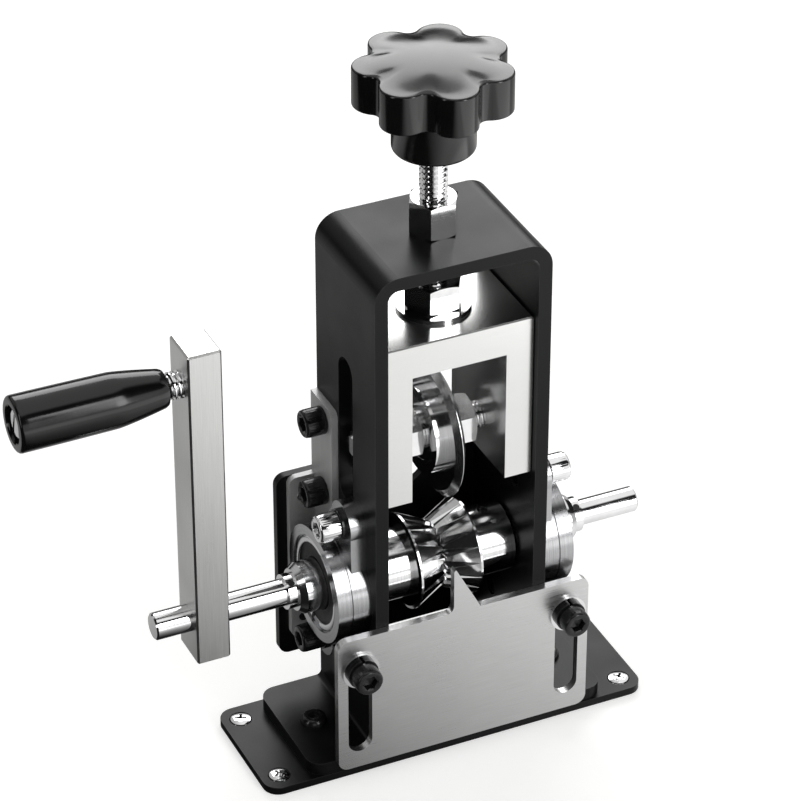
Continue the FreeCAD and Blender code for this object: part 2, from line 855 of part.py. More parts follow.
def feed_wheel():
    """Right-hand feed wheel: a hub and one toothed flank of the cable groove."""
    middle = wheel_split / 2
    bore = shaft_r + hole_gap
    profile = [
        (middle, bore),
        (middle, groove_r),
        (wheel_half_width - wheel_rim_width, wheel_r),
        (wheel_half_width - wheel_side_bevel / 2, wheel_r),
        (wheel_half_width, wheel_r - wheel_side_bevel),
        (wheel_half_width, wheel_hub_r),
        (wheel_hub_end, wheel_hub_r),
        (wheel_hub_end, bore),
    ]
    wheel = turned_x(profile, shaft_z).cut(tooth_cutters())
    return wheel.cut(wheel_grub(grub_r + hole_gap, 0, wheel_hub_r + PAST))


def tooth_cutters():
    """V-shaped notches, deep at the middle of the groove and running out on the rim."""
    slope = math.tan(math.radians(tooth_angle / 2))
    start = groove_r - tooth_depth
    lift = (wheel_r - start) / (wheel_half_width - tooth_run_out)
    rise = start + lift * wheel_half_width + tooth_spare
    sections = []
    for x in (0.0, wheel_half_width):
        root = start + lift * x
        spread = (rise - root) * slope
        corners = [(0, root), (spread, rise), (-spread, rise), (0, root)]
        sections.append(Part.makePolygon([FreeCAD.Vector(x, y, shaft_z + z) for y, z in corners]))
    notch = Part.makeLoft(sections, True, True)
    notches = []
    for step in range(tooth_count):
        turned = notch.copy()
        turned.rotate(SHAFT_AXIS, X, 360.0 * step / tooth_count)
        notches.append(turned)
    return notches


def wheel_grub(radius, inner, outer):
    """A pin through the top of the right-hand wheel's hub, between two radii."""
    x = (wheel_half_width + wheel_hub_end) / 2
    return rod_z(radius, shaft_z + inner, shaft_z + outer, x)


def crank_arm():
    """Square bar with the shaft in one end and the handle bolt in the other."""
    half = arm_width / 2
    low = shaft_z - arm_below
    arm = block(-arm_outer, -arm_inner, -half, half, low, handle_z + arm_above)
    arm = arm.makeChamfer(arm_chamfer, arm.Edges)
    arm = arm.cut(rod_x(shaft_r + hole_gap, -arm_outer, -arm_inner, 0, shaft_z))
    arm = arm.cut(rod_x(stud_r + hole_gap, -arm_outer, -arm_inner, 0, handle_z))
    return arm.cut(arm_grub(grub_r + hole_gap, 0, arm_below))


def arm_grub(radius, inner, outer):
    """A pin up through the arm's lower end, between two distances below the shaft's axis."""
    x = -(arm_inner + arm_outer) / 2
    return rod_z(radius, shaft_z - outer, shaft_z - inner, x)


def handle_bolt():
    """Slotted shoulder bolt: the grip turns on its pivot, its thread holds in the arm."""
    face = pivot_head_inset - grip_outer
    back = face + pivot_head_height
    shoulder = grip_end_gap - grip_inner
    profile = [
        (face, 0),
        (face, pivot_head_r),
        (back, pivot_head_r),
        (back, pivot_r),
        (shoulder, pivot_r),
        (shoulder, stud_r),
        (-arm_inner, stud_r),
        (-arm_inner, 0),
    ]
    half = screw_slot_width / 2
    reach = pivot_head_r + PAST
    slot = block(face, face + screw_slot_depth, -half, half, handle_z - reach, handle_z + reach)
    return turned_x(profile, handle_z).cut(slot)


def handle_grip():
    """Turned grip, thick at its free end, that spins on the handle bolt."""
    seat = pivot_head_inset + pivot_head_height + seat_gap - grip_outer
    bore = pivot_r + run_gap
    profile = [
        (seat, bore),
        (seat, grip_recess_r),
        (-grip_outer, grip_recess_r),
        (-grip_outer, grip_r - grip_edge),
        (grip_edge - grip_outer, grip_r),
        (-grip_inner - grip_taper, grip_waist_r),
        (-grip_inner - grip_edge, grip_neck_r),
        (-grip_inner, grip_neck_r - grip_edge / 2),
        (-grip_inner, bore),
    ]
    return turned_x(profile, handle_z)


# ---- Blade group ----------------------------------------------------------------------------
def blade_ring():
    """Ring blade, ground to an edge from both sides."""
    bore = blade_bore_r + hole_gap
    shoulder = blade_r - blade_bevel
    profile = [
        (-blade_half, bore),
        (-blade_half, shoulder),
        (-blade_edge / 2, blade_r),
        (blade_edge / 2, blade_r),
        (blade_half, shoulder),
        (blade_half, bore),
    ]
    return turned_x(profile, blade_z)


def blade_hub():
    """Hub with a flange on the blade's left and a nose that carries the blade."""
    seat = small_ring_r + hole_gap
    lip = small_ring_r - hub_lip
    profile = [
        (hub_left, seat),
        (hub_left, blade_bore_r + hub_flange_step),
        (-blade_half, blade_bore_r + hub_flange_step),
        (-blade_half, blade_bore_r),
        (hub_right, blade_bore_r),
        (hub_right, lip),
        (small_ring_right, lip),
        (small_ring_right, seat),
    ]
    return turned_x(profile, blade_z)


def blade_lock_ring():
    """Notched ring nut that clamps the blade against the hub's flange."""
    right = blade_half + lock_ring_width
    outer = blade_bore_r + lock_ring_step
    half = lock_notch_width / 2
    ring = tube_x(outer, blade_bore_r + hole_gap, blade_half, right, blade_z)
    floor = blade_z + outer - lock_notch_depth
    for step in range(lock_notch_count):
        notch = block(blade_half, right, -half, half, floor, floor + lock_notch_depth + PAST)
        notch.rotate(BLADE_AXIS, X, 360.0 * step / lock_notch_count)
        ring = ring.cut(notch)
    return ring


def small_ring(outer_r, inner_r):
    """One ring of the blade's bearing, with its ball groove."""
    ring = tube_x(outer_r, inner_r, hub_left, small_ring_right, blade_z)
    return ring.cut(ball_groove(small_circle_r, small_ball_r, small_ring_x, BLADE_AXIS))


def blade_shields():
    """Shields on both faces of the blade's bearing."""
    outer = small_ring_r - small_ring_wall
    inner = axle_r + small_ring_wall + slide_gap
    right = small_ring_right - seat_gap - shield_thickness
    pieces = []
    for left in (hub_left + seat_gap, right):
        pieces.append(tube_x(outer, inner, left, left + shield_thickness, blade_z))
    return Part.makeCompound(pieces)


def blade_axle():
    """Threaded axle across the carriage; its ends run in the frame's slots."""
    axle = rod_x(axle_r, -axle_half, axle_half, 0, blade_z)
    return axle.makeChamfer(axle_chamfer, end_edges(axle))


def axle_nuts():
    """Nuts that clamp the bearing's inner ring on the axle."""
    bore = axle_r + hole_gap
    left = nut(axle_nut_flats, axle_nut_height, bore, BLADE_AXIS + X * left_nut_face, X * -1)
    right = nut(axle_nut_flats, axle_nut_height, bore, BLADE_AXIS + X * right_nut_face, X)
    return Part.makeCompound([left, right])


def axle_washers():
    """Washer on the left of the bearing's inner ring, and stepped washer on its right."""
    bore = axle_r + hole_gap
    step_r = axle_r + small_ring_wall
    washer_r = axle_r + axle_washer_step
    left = tube_x(washer_r, bore, left_nut_face, hub_left, blade_z)
    profile = [
        (small_ring_right, bore),
        (small_ring_right, step_r),
        (hub_right, step_r),
        (hub_right, washer_r),
        (right_nut_face, washer_r),
        (right_nut_face, bore),
    ]
    return Part.makeCompound([left, turned_x(profile, blade_z)])


# ---- Carriage and spindle -----------------------------------------------------------------------
def carriage():
    """Upside-down U block that slides between the legs and carries the blade."""
    front = frame_front + carriage_inset
    back = frame_back - carriage_inset
    body = block(-carriage_half, carriage_half, front, back, carriage_foot, carriage_top)
    body = body.cut(block(-leg_inside, leg_inside, front, back, carriage_foot, bar_underside))
    rim = [edge for edge in body.Edges if edge.BoundBox.ZMin > carriage_top - NEAR]
    body = body.makeChamfer(carriage_edge, rim)
    body = body.cut(rod_z(spindle_r + slide_gap, bar_underside, carriage_top))
    return body.cut(rod_x(axle_r + hole_gap, -carriage_half, carriage_half, 0, blade_z))


def carriage_washers():
    """Washers above and below the carriage's bar."""
    hole = spindle_r + slide_gap
    upper_r = thrust_nut_flats / math.sqrt(3) + washer_border
    lower_r = lock_nut_flats / math.sqrt(3) + washer_border / 2
    upper = tube_z(upper_r, hole, carriage_top, carriage_top + washer_thickness)
    lower = tube_z(lower_r, hole, bar_underside - lower_washer_thickness, bar_underside)
    return Part.makeCompound([upper, lower])


def spindle():
    """Screw spindle from below the carriage's bar up into the knob."""
    rod = rod_z(spindle_r, lock_nut_base - spindle_tail, insert_top - insert_spare)
    ends = [edge for edge in rod.Edges if edge.BoundBox.ZLength < NEAR]
    return rod.makeChamfer(spindle_chamfer, ends)


def thrust_nut():
    """Nut locked on the spindle that pushes the carriage down."""
    at = FreeCAD.Vector(0, 0, thrust_nut_base)
    return nut(thrust_nut_flats, thrust_nut_height, spindle_r + hole_gap, at, Z)


def spindle_lock_nut():
    """Nut locked on the spindle's end that lifts the carriage."""
    at = FreeCAD.Vector(0, 0, lock_nut_base)
    return nut(lock_nut_flats, lock_nut_height, spindle_r + hole_gap, at, Z)


def knob_insert():
    """Threaded metal insert moulded into the knob."""
    return tube_z(insert_r, spindle_r + hole_gap, knob_base, insert_top)


def knob():
    """Lobed hand knob with a round hub below and a low crown on top."""
    body_r = knob_r - knob_lobe_depth
    lobe_circle_r = knob_r - knob_lobe_r
    lobes = []
    for step in range(knob_lobes):
        angle = math.radians(knob_phase + 360.0 * step / knob_lobes)
        x = lobe_circle_r * math.cos(angle)
        y = lobe_circle_r * math.sin(angle)
        lobes.append(rod_z(knob_lobe_r, knob_head_base, knob_head_top, x, y))
    head = rod_z(body_r, knob_head_base, knob_head_top).fuse(lobes).removeSplitter()
    rims = [edge for edge in head.Edges if edge.BoundBox.ZMin > knob_head_top - NEAR]
    head = head.makeFillet(knob_rim, rims)
    crown_r = body_r - knob_crown_margin
    crown_at = FreeCAD.Vector(0, 0, knob_head_top)
    crown = Part.makeCone(crown_r, crown_r - knob_crown_slope, knob_crown, crown_at)
    hub = rod_z(knob_hub_r, knob_base, knob_head_base)
    body = head.fuse([crown, hub]).removeSplitter()
    return body.cut(rod_z(insert_r, knob_base, insert_top))


# ---- Build ----------------------------------------------------------------------------------------
def all_parts():
    """Every sub-part by its name."""
    bore_r = shaft_r + hole_gap
    upper_ear, lower_ear = ear_places()
    shaft_balls = (ball_count, ball_circle_r, ball_r, ball_x, SHAFT_AXIS)
    blade_balls = (small_ball_count, small_circle_r, small_ball_r, small_ring_x, BLADE_AXIS)
    return {
        "base_plate": base_plate(),
        "main_frame": main_frame(),
        "foot_screws": foot_screws(),
        "top_nut": top_nut(),
        "front_plate": front_plate(),
        "plate_lugs": plate_lugs(),
        "plate_washers": plate_washers(),
        "plate_spring_washers": plate_spring_washers(),
        "plate_screws": plate_screws(),
        "guide_bracket_right": guide_bracket(),
        "guide_bracket_left": flipped(guide_bracket()),
        "bracket_screws": bracket_screws(),
        "rear_guide_plate": rear_guide_plate(),
        "guide_plate_screws": guide_plate_screws(),
        "bearing_housing_right": bearing_housing(),
        "bearing_housing_left": flipped(bearing_housing()),
        "flange_washers": flange_washers(),
        "flange_screws_upper": flange_screws(upper_ear),
        "flange_screws_lower": flange_screws(lower_ear),
        "bearing_outer_rings": outer_rings(),
        "bearing_snap_rings": snap_rings(),
        "bearing_seals": seals(),
        "shaft_bearing_balls": both_sides(balls(*shaft_balls)),
        "shaft_bearing_cages": both_sides(cage(*shaft_balls)),
        "bearing_inner_ring_right": inner_ring(),
        "bearing_inner_ring_left": flipped(inner_ring()),
        "shaft_stop_rings": both_sides(stop_ring()),
        "stop_ring_set_screws": both_sides(set_screw(set_screw_r, bore_r, stop_ring_r)),
        "drive_shaft": drive_shaft(),
        "feed_wheel_right": feed_wheel(),
        "feed_wheel_left": flipped(feed_wheel()),
        "feed_wheel_grub_screws": both_sides(wheel_grub(grub_r, bore_r, wheel_hub_r - grub_r)),
        "crank_arm": crank_arm(),
        "crank_grub_screw": arm_grub(grub_r, bore_r, arm_below - grub_r),
        "handle_bolt": handle_bolt(),
        "handle_grip": handle_grip(),
        "blade": blade_ring(),
        "blade_hub": blade_hub(),
        "blade_lock_ring": blade_lock_ring(),
        "blade_bearing_outer_ring": small_ring(small_ring_r, small_ring_r - small_ring_wall),
        "blade_bearing_inner_ring": small_ring(axle_r + small_ring_wall, axle_r + hole_gap),
        "blade_bearing_shields": blade_shields(),
        "blade_bearing_balls": balls(*blade_balls),
        "blade_bearing_cage": cage(*blade_balls),
        "blade_axle": blade_axle(),
        "axle_nuts": axle_nuts(),
        "axle_washers": axle_washers(),
        "carriage": carriage(),
        "carriage_washers": carriage_washers(),
        "spindle": spindle(),
        "thrust_nut": thrust_nut(),
        "spindle_lock_nut": spindle_lock_nut(),
        "knob_insert": knob_insert(),
        "knob": knob(),
    }


os.makedirs("parts", exist_ok=True)
for name, shape in all_parts().items():
    shape.exportStep("parts/" + name + ".step")
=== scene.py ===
import json
import math

import bmesh
import bpy
from mathutils import Matrix, Vector


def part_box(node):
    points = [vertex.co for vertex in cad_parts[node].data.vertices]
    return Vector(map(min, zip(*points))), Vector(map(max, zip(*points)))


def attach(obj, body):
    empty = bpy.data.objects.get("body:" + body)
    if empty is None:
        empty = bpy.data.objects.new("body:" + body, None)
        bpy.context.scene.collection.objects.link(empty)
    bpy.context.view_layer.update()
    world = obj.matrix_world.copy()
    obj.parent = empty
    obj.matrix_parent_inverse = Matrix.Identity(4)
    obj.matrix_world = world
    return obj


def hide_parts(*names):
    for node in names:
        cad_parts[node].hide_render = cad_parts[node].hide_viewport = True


# Dresses the hand crank wire stripper: materials, finer pieces, floor, light and camera.
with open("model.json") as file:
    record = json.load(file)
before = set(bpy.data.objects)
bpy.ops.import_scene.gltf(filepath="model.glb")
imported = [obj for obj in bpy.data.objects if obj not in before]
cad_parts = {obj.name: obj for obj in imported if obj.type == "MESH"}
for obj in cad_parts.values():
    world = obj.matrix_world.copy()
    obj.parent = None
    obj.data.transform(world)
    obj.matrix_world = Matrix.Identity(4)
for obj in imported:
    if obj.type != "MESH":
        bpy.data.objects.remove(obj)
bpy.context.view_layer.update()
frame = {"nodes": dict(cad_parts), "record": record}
nodes = frame["nodes"]
record = frame["record"]

MM = 0.001
X_AXIS = Vector((1, 0, 0))
Z_AXIS = Vector((0, 0, 1))


# ---- Places read from the frame ------------------------------------------------------------------
def joint_place(name):
    """The point that a hinge turns about."""
    for joint in record["behaviour"]["joints"]:
        if joint["name"] == name:
            return Vector(joint["pos_m"])


def mount_sizes(name):
    """The record's dimensions of a mount."""
    for mount in record["mounts"]:
        if mount["name"] == name:
            return mount["dims"]


shaft_z = joint_place("crank_turn").z
blade_z = joint_place("blade_spin").z
handle_z = joint_place("grip_spin").z
bench_holes = mount_sizes("bench_holes")


# ---- Mesh helpers --------------------------------------------------------------------------------
CRISP_ANGLE = 38         # degrees between two faces, past which their edge stays crisp
SAME_POINT = 0.001 * MM  # points of a node nearer than this are one
WELD = 0.0001 * MM       # points of a thread nearer than this become one
SLIVER = 0.00001 * MM    # edges of a thread shorter than this are dissolved
ROUND_COUNT = 96         # points around a large round piece
SMALL_ROUND_COUNT = 64   # points around a small one
RIM_STEPS = 6            # of a rounded rim


def smooth(mesh, crisp_angle=CRISP_ANGLE):
    """Shades a mesh smooth, apart from its crisp edges."""
    mesh.shade_smooth()
    mesh.set_sharp_from_angle(angle=math.radians(crisp_angle))


def new_object(name, bm, crisp_angle=CRISP_ANGLE):
    """Turns a bmesh into an object with smooth faces and crisp edges."""
    bmesh.ops.recalc_face_normals(bm, faces=bm.faces)
    mesh = bpy.data.meshes.new(name)
    bm.to_mesh(mesh)
    bm.free()
    smooth(mesh, crisp_angle)
    piece = bpy.data.objects.new(name, mesh)
    bpy.context.scene.collection.objects.link(piece)
    return piece


def facing(at, along):
    """A matrix that turns local +Z to a direction and moves the origin to a point."""
    turn = Z_AXIS.rotation_difference(Vector(along)).to_matrix().to_4x4()
    return Matrix.Translation(Vector(at)) @ turn


def round_point(angle, radius, height):
    """A point about the local Z axis."""
    return Vector((radius * math.cos(angle), radius * math.sin(angle), height))


def quarter_turn(steps):
    """Angles from nought to a right angle, for a rounded rim."""
    return [math.pi / 2 * step / steps for step in range(steps + 1)]


def add_loft(bm, rings, count, place, looped=False):
    """Skins rings of (height, radius) about the local Z axis, and closes both ends.

    A radius may be a rule of the angle, and a height a rule of the radius."""
    loops = []
    for height, radius in rings:
        loop = []
        for step in range(count):
            angle = 2 * math.pi * step / count
            r = radius(angle) if callable(radius) else radius
            z = height(r) if callable(height) else height
            loop.append(bm.verts.new(place @ round_point(angle, r, z)))
        loops.append(loop)
    pairs = list(zip(loops, loops[1:]))
    if looped:
        pairs.append((loops[-1], loops[0]))
    for lower, upper in pairs:
        for step in range(count):
            after = (step + 1) % count
            bm.faces.new((lower[step], lower[after], upper[after], upper[step]))
    if not looped:
        bm.faces.new(list(reversed(loops[0])))
        bm.faces.new(loops[-1])


def add_open_ring(bm, profile, opening, count, place):
    """Sweeps a closed profile of (height, radius) about local Z, and closes the ends at the opening."""
    loops = []
    for step in range(count + 1):
        angle = opening / 2 + (2 * math.pi - opening) * step / count
        loops.append([bm.verts.new(place @ round_point(angle, r, height)) for height, r in profile])
    for before, after in zip(loops, loops[1:]):
        for corner in range(len(profile)):
            beyond = (corner + 1) % len(profile)
            bm.faces.new((before[corner], before[beyond], after[beyond], after[corner]))
    bm.faces.new(loops[0])
    bm.faces.new(list(reversed(loops[-1])))


def box_cutter(name, sizes, place):
    """A box of three sizes at a place, to be cut from a piece."""
    bm = bmesh.new()
    bmesh.ops.create_cube(bm, size=1.0, matrix=place @ Matrix.Diagonal((*sizes, 1)))
    return new_object(name, bm)


def carve(piece, cutter):
    """Cuts one mesh object from another for good."""
    modifier = piece.modifiers.new("cut", "BOOLEAN")
    modifier.operation = "DIFFERENCE"
    modifier.solver = "EXACT"
    modifier.object = cutter
    graph = bpy.context.evaluated_depsgraph_get()
    mesh = bpy.data.meshes.new_from_object(piece.evaluated_get(graph))
    piece.modifiers.clear()
    piece.data = mesh
    mesh.name = piece.name
    smooth(mesh)
    bpy.data.objects.remove(cutter, do_unlink=True)


def islands(node):
    """The lowest and highest corners of each separate solid of a node."""
    bm = bmesh.new()
    bm.from_mesh(nodes[node].data)
    bmesh.ops.remove_doubles(bm, verts=bm.verts, dist=SAME_POINT)
    waiting = set(bm.verts)
    found = []
    while waiting:
        group = [waiting.pop()]
        for vertex in group:
            for edge in vertex.link_edges:
                other = edge.other_vert(vertex)
                if other in waiting:
                    waiting.remove(other)
                    group.append(other)
        low = Vector([min(v.co[i] for v in group) for i in range(3)])
        high = Vector([max(v.co[i] for v in group) for i in range(3)])
        found.append((low, high))
    bm.free()
    return sorted(found, key=lambda box: tuple(box[0]))


# ---- Materials -----------------------------------------------------------------------------------
LEAST_ROUGHNESS = 0.02
STREAK_DARK = 0.16       # how much a brushed metal's streaks darken and lighten its colour
STREAK_LIGHT = 0.1
RING_SCALE = 5200        # rings of a turned metal, in periods a metre
EDGE_HIGHLIGHT_SHARE = 0.5         # how much of its paler colour a painted edge highlight takes
EDGE_HIGHLIGHT_SPAN = (0.75, 0.97)  # cosine between the rounded and the real normal: painted highlight at full, and none


class Look:
    """A material under construction, with short names for its nodes.

    The scale of a noise is in periods a metre."""

    def __init__(self, name, colour, metallic, roughness, specular=0.5):
        self.material = bpy.data.materials.new(name)
        self.material.use_nodes = True
        self.tree = self.material.node_tree
        self.shader = self.tree.nodes["Principled BSDF"]
        self.shader.inputs["Base Color"].default_value = (*colour, 1)
        self.shader.inputs["Metallic"].default_value = metallic
        self.shader.inputs["Roughness"].default_value = roughness
        self.shader.inputs["Specular IOR Level"].default_value = specular
        self.colour = colour
        self.roughness = roughness
        self.place = self.node("ShaderNodeTexCoord").outputs["Object"]

    def node(self, kind, **settings):
        """A new node."""
        made = self.tree.nodes.new(kind)
        for key, value in settings.items():
            setattr(made, key, value)
        return made

    def link(self, source, target):
        """Joins an output to an input."""
        self.tree.links.new(source, target)

    def noise(self, vector, detail, roughness=0.5):
        """Noise over a vector that is already scaled."""
        made = self.node("ShaderNodeTexNoise")
        made.inputs["Scale"].default_value = 1.0
        made.inputs["Detail"].default_value = detail
        made.inputs["Roughness"].default_value = roughness
        self.link(vector, made.inputs["Vector"])
        return made.outputs["Fac"]

    def stretched_noise(self, scale, detail, roughness=0.5):
        """Noise with its own scale along each axis."""
        mapping = self.node("ShaderNodeMapping")
        mapping.inputs["Scale"].default_value = scale
        self.link(self.place, mapping.inputs["Vector"])
        return self.noise(mapping.outputs["Vector"], detail, roughness)

    def even_noise(self, scale, detail):
        """Noise with the same scale along all axes."""
        return self.stretched_noise((scale, scale, scale), detail)

    def turned_noise(self, centre, scale, detail):
        """Noise in rings about an axis along X: it varies along the axis and with the distance from it."""
        shift = self.node("ShaderNodeVectorMath", operation="SUBTRACT")
        shift.inputs[1].default_value = centre
        self.link(self.place, shift.inputs[0])
        parts = self.node("ShaderNodeSeparateXYZ")
        self.link(shift.outputs["Vector"], parts.inputs["Vector"])
        across = self.node("ShaderNodeCombineXYZ")
        self.link(parts.outputs["Y"], across.inputs["X"])
        self.link(parts.outputs["Z"], across.inputs["Y"])
        distance = self.node("ShaderNodeVectorMath", operation="LENGTH")
        self.link(across.outputs["Vector"], distance.inputs[0])
        rings = self.node("ShaderNodeCombineXYZ")
        self.link(self.times(parts.outputs["X"], scale), rings.inputs["X"])
        self.link(self.times(distance.outputs["Value"], scale), rings.inputs["Y"])
        return self.noise(rings.outputs["Vector"], detail)

    def times(self, value, factor):
        """A value multiplied by a number."""
        made = self.node("ShaderNodeMath", operation="MULTIPLY")
        made.inputs[1].default_value = factor
        self.link(value, made.inputs[0])
        return made.outputs["Value"]

    def spread(self, value, low, high, from_low=0.3, from_high=0.7):
        """Maps a value to a wanted range; noise lies mostly between 0.3 and 0.7."""
        made = self.node("ShaderNodeMapRange")
        made.inputs["From Min"].default_value = from_low
        made.inputs["From Max"].default_value = from_high
        made.inputs["To Min"].default_value = low
        made.inputs["To Max"].default_value = high
        self.link(value, made.inputs["Value"])
        return made.outputs["Result"]

    def vary_roughness(self, value, amount):
        """Lets the roughness wander about its base value."""
        low = max(LEAST_ROUGHNESS, self.roughness - amount)
        result = self.spread(value, low, self.roughness + amount)
        self.link(result, self.shader.inputs["Roughness"])

    def vary_colour(self, value, dark, light):
        """Lets the colour wander between two shares of the base colour."""
        mix = self.node("ShaderNodeMix", data_type="RGBA")
        mix.inputs["A"].default_value = (*[c * dark for c in self.colour], 1)
        mix.inputs["B"].default_value = (*[min(1.0, c * light) for c in self.colour], 1)
        self.link(self.spread(value, 0, 1), mix.inputs["Factor"])
        self.link(mix.outputs["Result"], self.shader.inputs["Base Color"])
        return mix.outputs["Result"]

    def bump(self, value, depth, strength):
        """Raises and sinks the surface by a value."""
        made = self.node("ShaderNodeBump")
        made.inputs["Distance"].default_value = depth
        made.inputs["Strength"].default_value = strength
        self.link(value, made.inputs["Height"])
        self.link(made.outputs["Normal"], self.shader.inputs["Normal"])

    def painted_edge_highlight(self, base, colour, radius):
        """Paints a highlight into the colour along sharp edges, where a rounded normal leaves the real
        one.
        """
        bevel = self.node("ShaderNodeBevel", samples=4)
        bevel.inputs["Radius"].default_value = radius
        geometry = self.node("ShaderNodeNewGeometry")
        dot = self.node("ShaderNodeVectorMath", operation="DOT_PRODUCT")
        self.link(bevel.outputs["Normal"], dot.inputs[0])
        self.link(geometry.outputs["Normal"], dot.inputs[1])
        edge = self.spread(dot.outputs["Value"], EDGE_HIGHLIGHT_SHARE, 0, *EDGE_HIGHLIGHT_SPAN)
        mix = self.node("ShaderNodeMix", data_type="RGBA")
        mix.inputs["B"].default_value = (*colour, 1)
        self.link(edge, mix.inputs["Factor"])
        self.link(base, mix.inputs["A"])
        self.link(mix.outputs["Result"], self.shader.inputs["Base Color"])


def powder_coat():
    """Satin black powder coat: a fine grain, slight cloudiness, and a painted highlight that makes the
    edges paler.
    """
    look = Look("powder_coat", (0.004, 0.004, 0.0043), metallic=0.0, roughness=0.34, specular=0.17)
    cloud = look.even_noise(scale=45, detail=4)
    base = look.vary_colour(cloud, dark=0.8, light=1.35)
    # Painted highlight: the colour turns paler along sharp edges.
    look.painted_edge_highlight(base, colour=(0.05, 0.05, 0.052), radius=0.7 * MM)
    look.vary_roughness(cloud, amount=0.05)
    look.bump(look.even_noise(scale=2600, detail=3), depth=0.03 * MM, strength=0.5)
    return look.material


def black_oxide():
    """Blackened steel screws with an oily sheen."""
    look = Look("black_oxide", (0.012, 0.012, 0.013), metallic=0.3, roughness=0.2)
    cloud = look.even_noise(scale=300, detail=4)
    base = look.vary_colour(cloud, dark=0.7, light=1.5)
    # Painted highlight: the colour turns paler along sharp edges.
    look.painted_edge_highlight(base, colour=(0.1, 0.1, 0.1), radius=0.3 * MM)
    look.vary_roughness(cloud, amount=0.07)
    look.bump(look.even_noise(scale=3000, detail=2), depth=0.01 * MM, strength=0.4)
    return look.material


def brushed(name, colour, roughness, scale, contrast, depth=0.012 * MM, cloudiness=0.06, metallic=1.0):
    """Brushed metal whose streaks run along the axis with the small scale."""
    look = Look(name, colour, metallic, roughness)
    streaks = look.stretched_noise(scale, detail=3, roughness=0.6)
    cloud = look.even_noise(scale=28, detail=3)
    base = look.vary_colour(streaks, dark=1 - STREAK_DARK * contrast, light=1 + STREAK_LIGHT * contrast)
    # Painted highlight: the colour turns paler along sharp edges.
    look.painted_edge_highlight(base, colour=(0.92, 0.92, 0.93), radius=0.4 * MM)
    mixed = look.node("ShaderNodeMath", operation="ADD")
    look.link(look.spread(streaks, -cloudiness, cloudiness), mixed.inputs[0])
    look.link(look.spread(cloud, roughness - cloudiness, roughness + cloudiness), mixed.inputs[1])
    look.link(mixed.outputs["Value"], look.shader.inputs["Roughness"])
    look.bump(streaks, depth, strength=0.6)
    return look.material


def turned(name, colour, roughness, centre, wander=0.05):
    """Metal with fine rings from a lathe or a grinding wheel, about an axis along X."""
    look = Look(name, colour, metallic=1.0, roughness=roughness)
    rings = look.turned_noise(centre, RING_SCALE, detail=2)
    look.vary_colour(rings, dark=0.86, light=1.08)
    look.vary_roughness(look.even_noise(scale=60, detail=3), wander)
    look.bump(rings, depth=0.008 * MM, strength=0.5)
    return look.material


def plated(name, colour, roughness, wander=0.03):
    """Bright plating with a faint ripple and the odd dull patch."""
    look = Look(name, colour, metallic=1.0, roughness=roughness)
    cloud = look.even_noise(scale=160, detail=4)
    look.vary_colour(cloud, dark=0.93, light=1.04)
    look.vary_roughness(cloud, wander)
    look.bump(look.even_noise(scale=700, detail=2), depth=0.006 * MM, strength=0.5)
    return look.material


def moulded(name, roughness, specular, grain_depth):
    """Black moulded plastic with a soft moulding texture."""
    look = Look(name, (0.004, 0.004, 0.004), metallic=0.0, roughness=roughness, specular=specular)
    cloud = look.even_noise(scale=90, detail=4)
    look.vary_colour(cloud, dark=0.85, light=1.2)
    look.vary_roughness(cloud, amount=0.035)
    look.bump(look.even_noise(scale=900, detail=3), grain_depth, strength=0.5)
    return look.material


def rubber():
    """Dull black seal rubber."""
    look = Look("seal_rubber", (0.02, 0.02, 0.02), metallic=0.0, roughness=0.55, specular=0.35)
    cloud = look.even_noise(scale=400, detail=3)
    look.vary_colour(cloud, dark=0.8, light=1.3)
    look.vary_roughness(cloud, amount=0.06)
    look.bump(cloud, depth=0.01 * MM, strength=0.6)
    return look.material


SHAFT_CENTRE = (0, 0, shaft_z)
BLADE_CENTRE = (0, 0, blade_z)
# Scales of the streaks along X, Y and Z, in periods a metre.
STREAKS_ALONG_X = (70, 4200, 4200)
FINE_STREAKS_ALONG_X = (90, 3800, 3800)
STREAKS_ALONG_Z = (3600, 3600, 80)
LONG_STREAKS_ALONG_Z = (3600, 3600, 60)
MATERIALS = {
    "frame_black": powder_coat(),
    "black_oxide": black_oxide(),
    "plate_steel": brushed(
        "plate_steel", (0.62, 0.62, 0.62), roughness=0.34, scale=STREAKS_ALONG_X, contrast=0.5
    ),
    "arm_metal": brushed(
        "arm_metal", (0.72, 0.72, 0.71), roughness=0.36, scale=LONG_STREAKS_ALONG_Z, contrast=0.45
    ),
    "bracket_steel": brushed(
        "bracket_steel", (0.5, 0.5, 0.5), roughness=0.42, scale=STREAKS_ALONG_Z, contrast=0.7, metallic=0.3
    ),
    "carriage_steel": brushed(
        "carriage_steel", (0.7, 0.7, 0.692), roughness=0.24, scale=FINE_STREAKS_ALONG_X, contrast=0.15,
        depth=0.0008 * MM, cloudiness=0.015
    ),
    "bright_steel": plated("bright_steel", (0.82, 0.82, 0.825), roughness=0.09),
    "housing_nickel": turned("housing_nickel", (0.42, 0.42, 0.43), roughness=0.22, centre=SHAFT_CENTRE),
    "bearing_steel": turned("bearing_steel", (0.66, 0.66, 0.67), roughness=0.16, centre=SHAFT_CENTRE),
    "wheel_steel": turned(
        "wheel_steel", (0.74, 0.74, 0.745), roughness=0.12, centre=SHAFT_CENTRE, wander=0.03
    ),
    "blade_steel": turned("blade_steel", (0.7, 0.7, 0.71), roughness=0.18, centre=BLADE_CENTRE),
    "seal_rubber": rubber(),
    "grip_plastic": moulded("grip_plastic", roughness=0.14, specular=0.45, grain_depth=0.003 * MM),
    "knob_plastic": moulded("knob_plastic", roughness=0.17, specular=0.5, grain_depth=0.004 * MM),
    "brass": plated("brass", (0.72, 0.52, 0.24), roughness=0.24, wander=0.05),
}
SLOT_OF = {entry["node"]: entry["material_slot"] for entry in record["subparts"]}


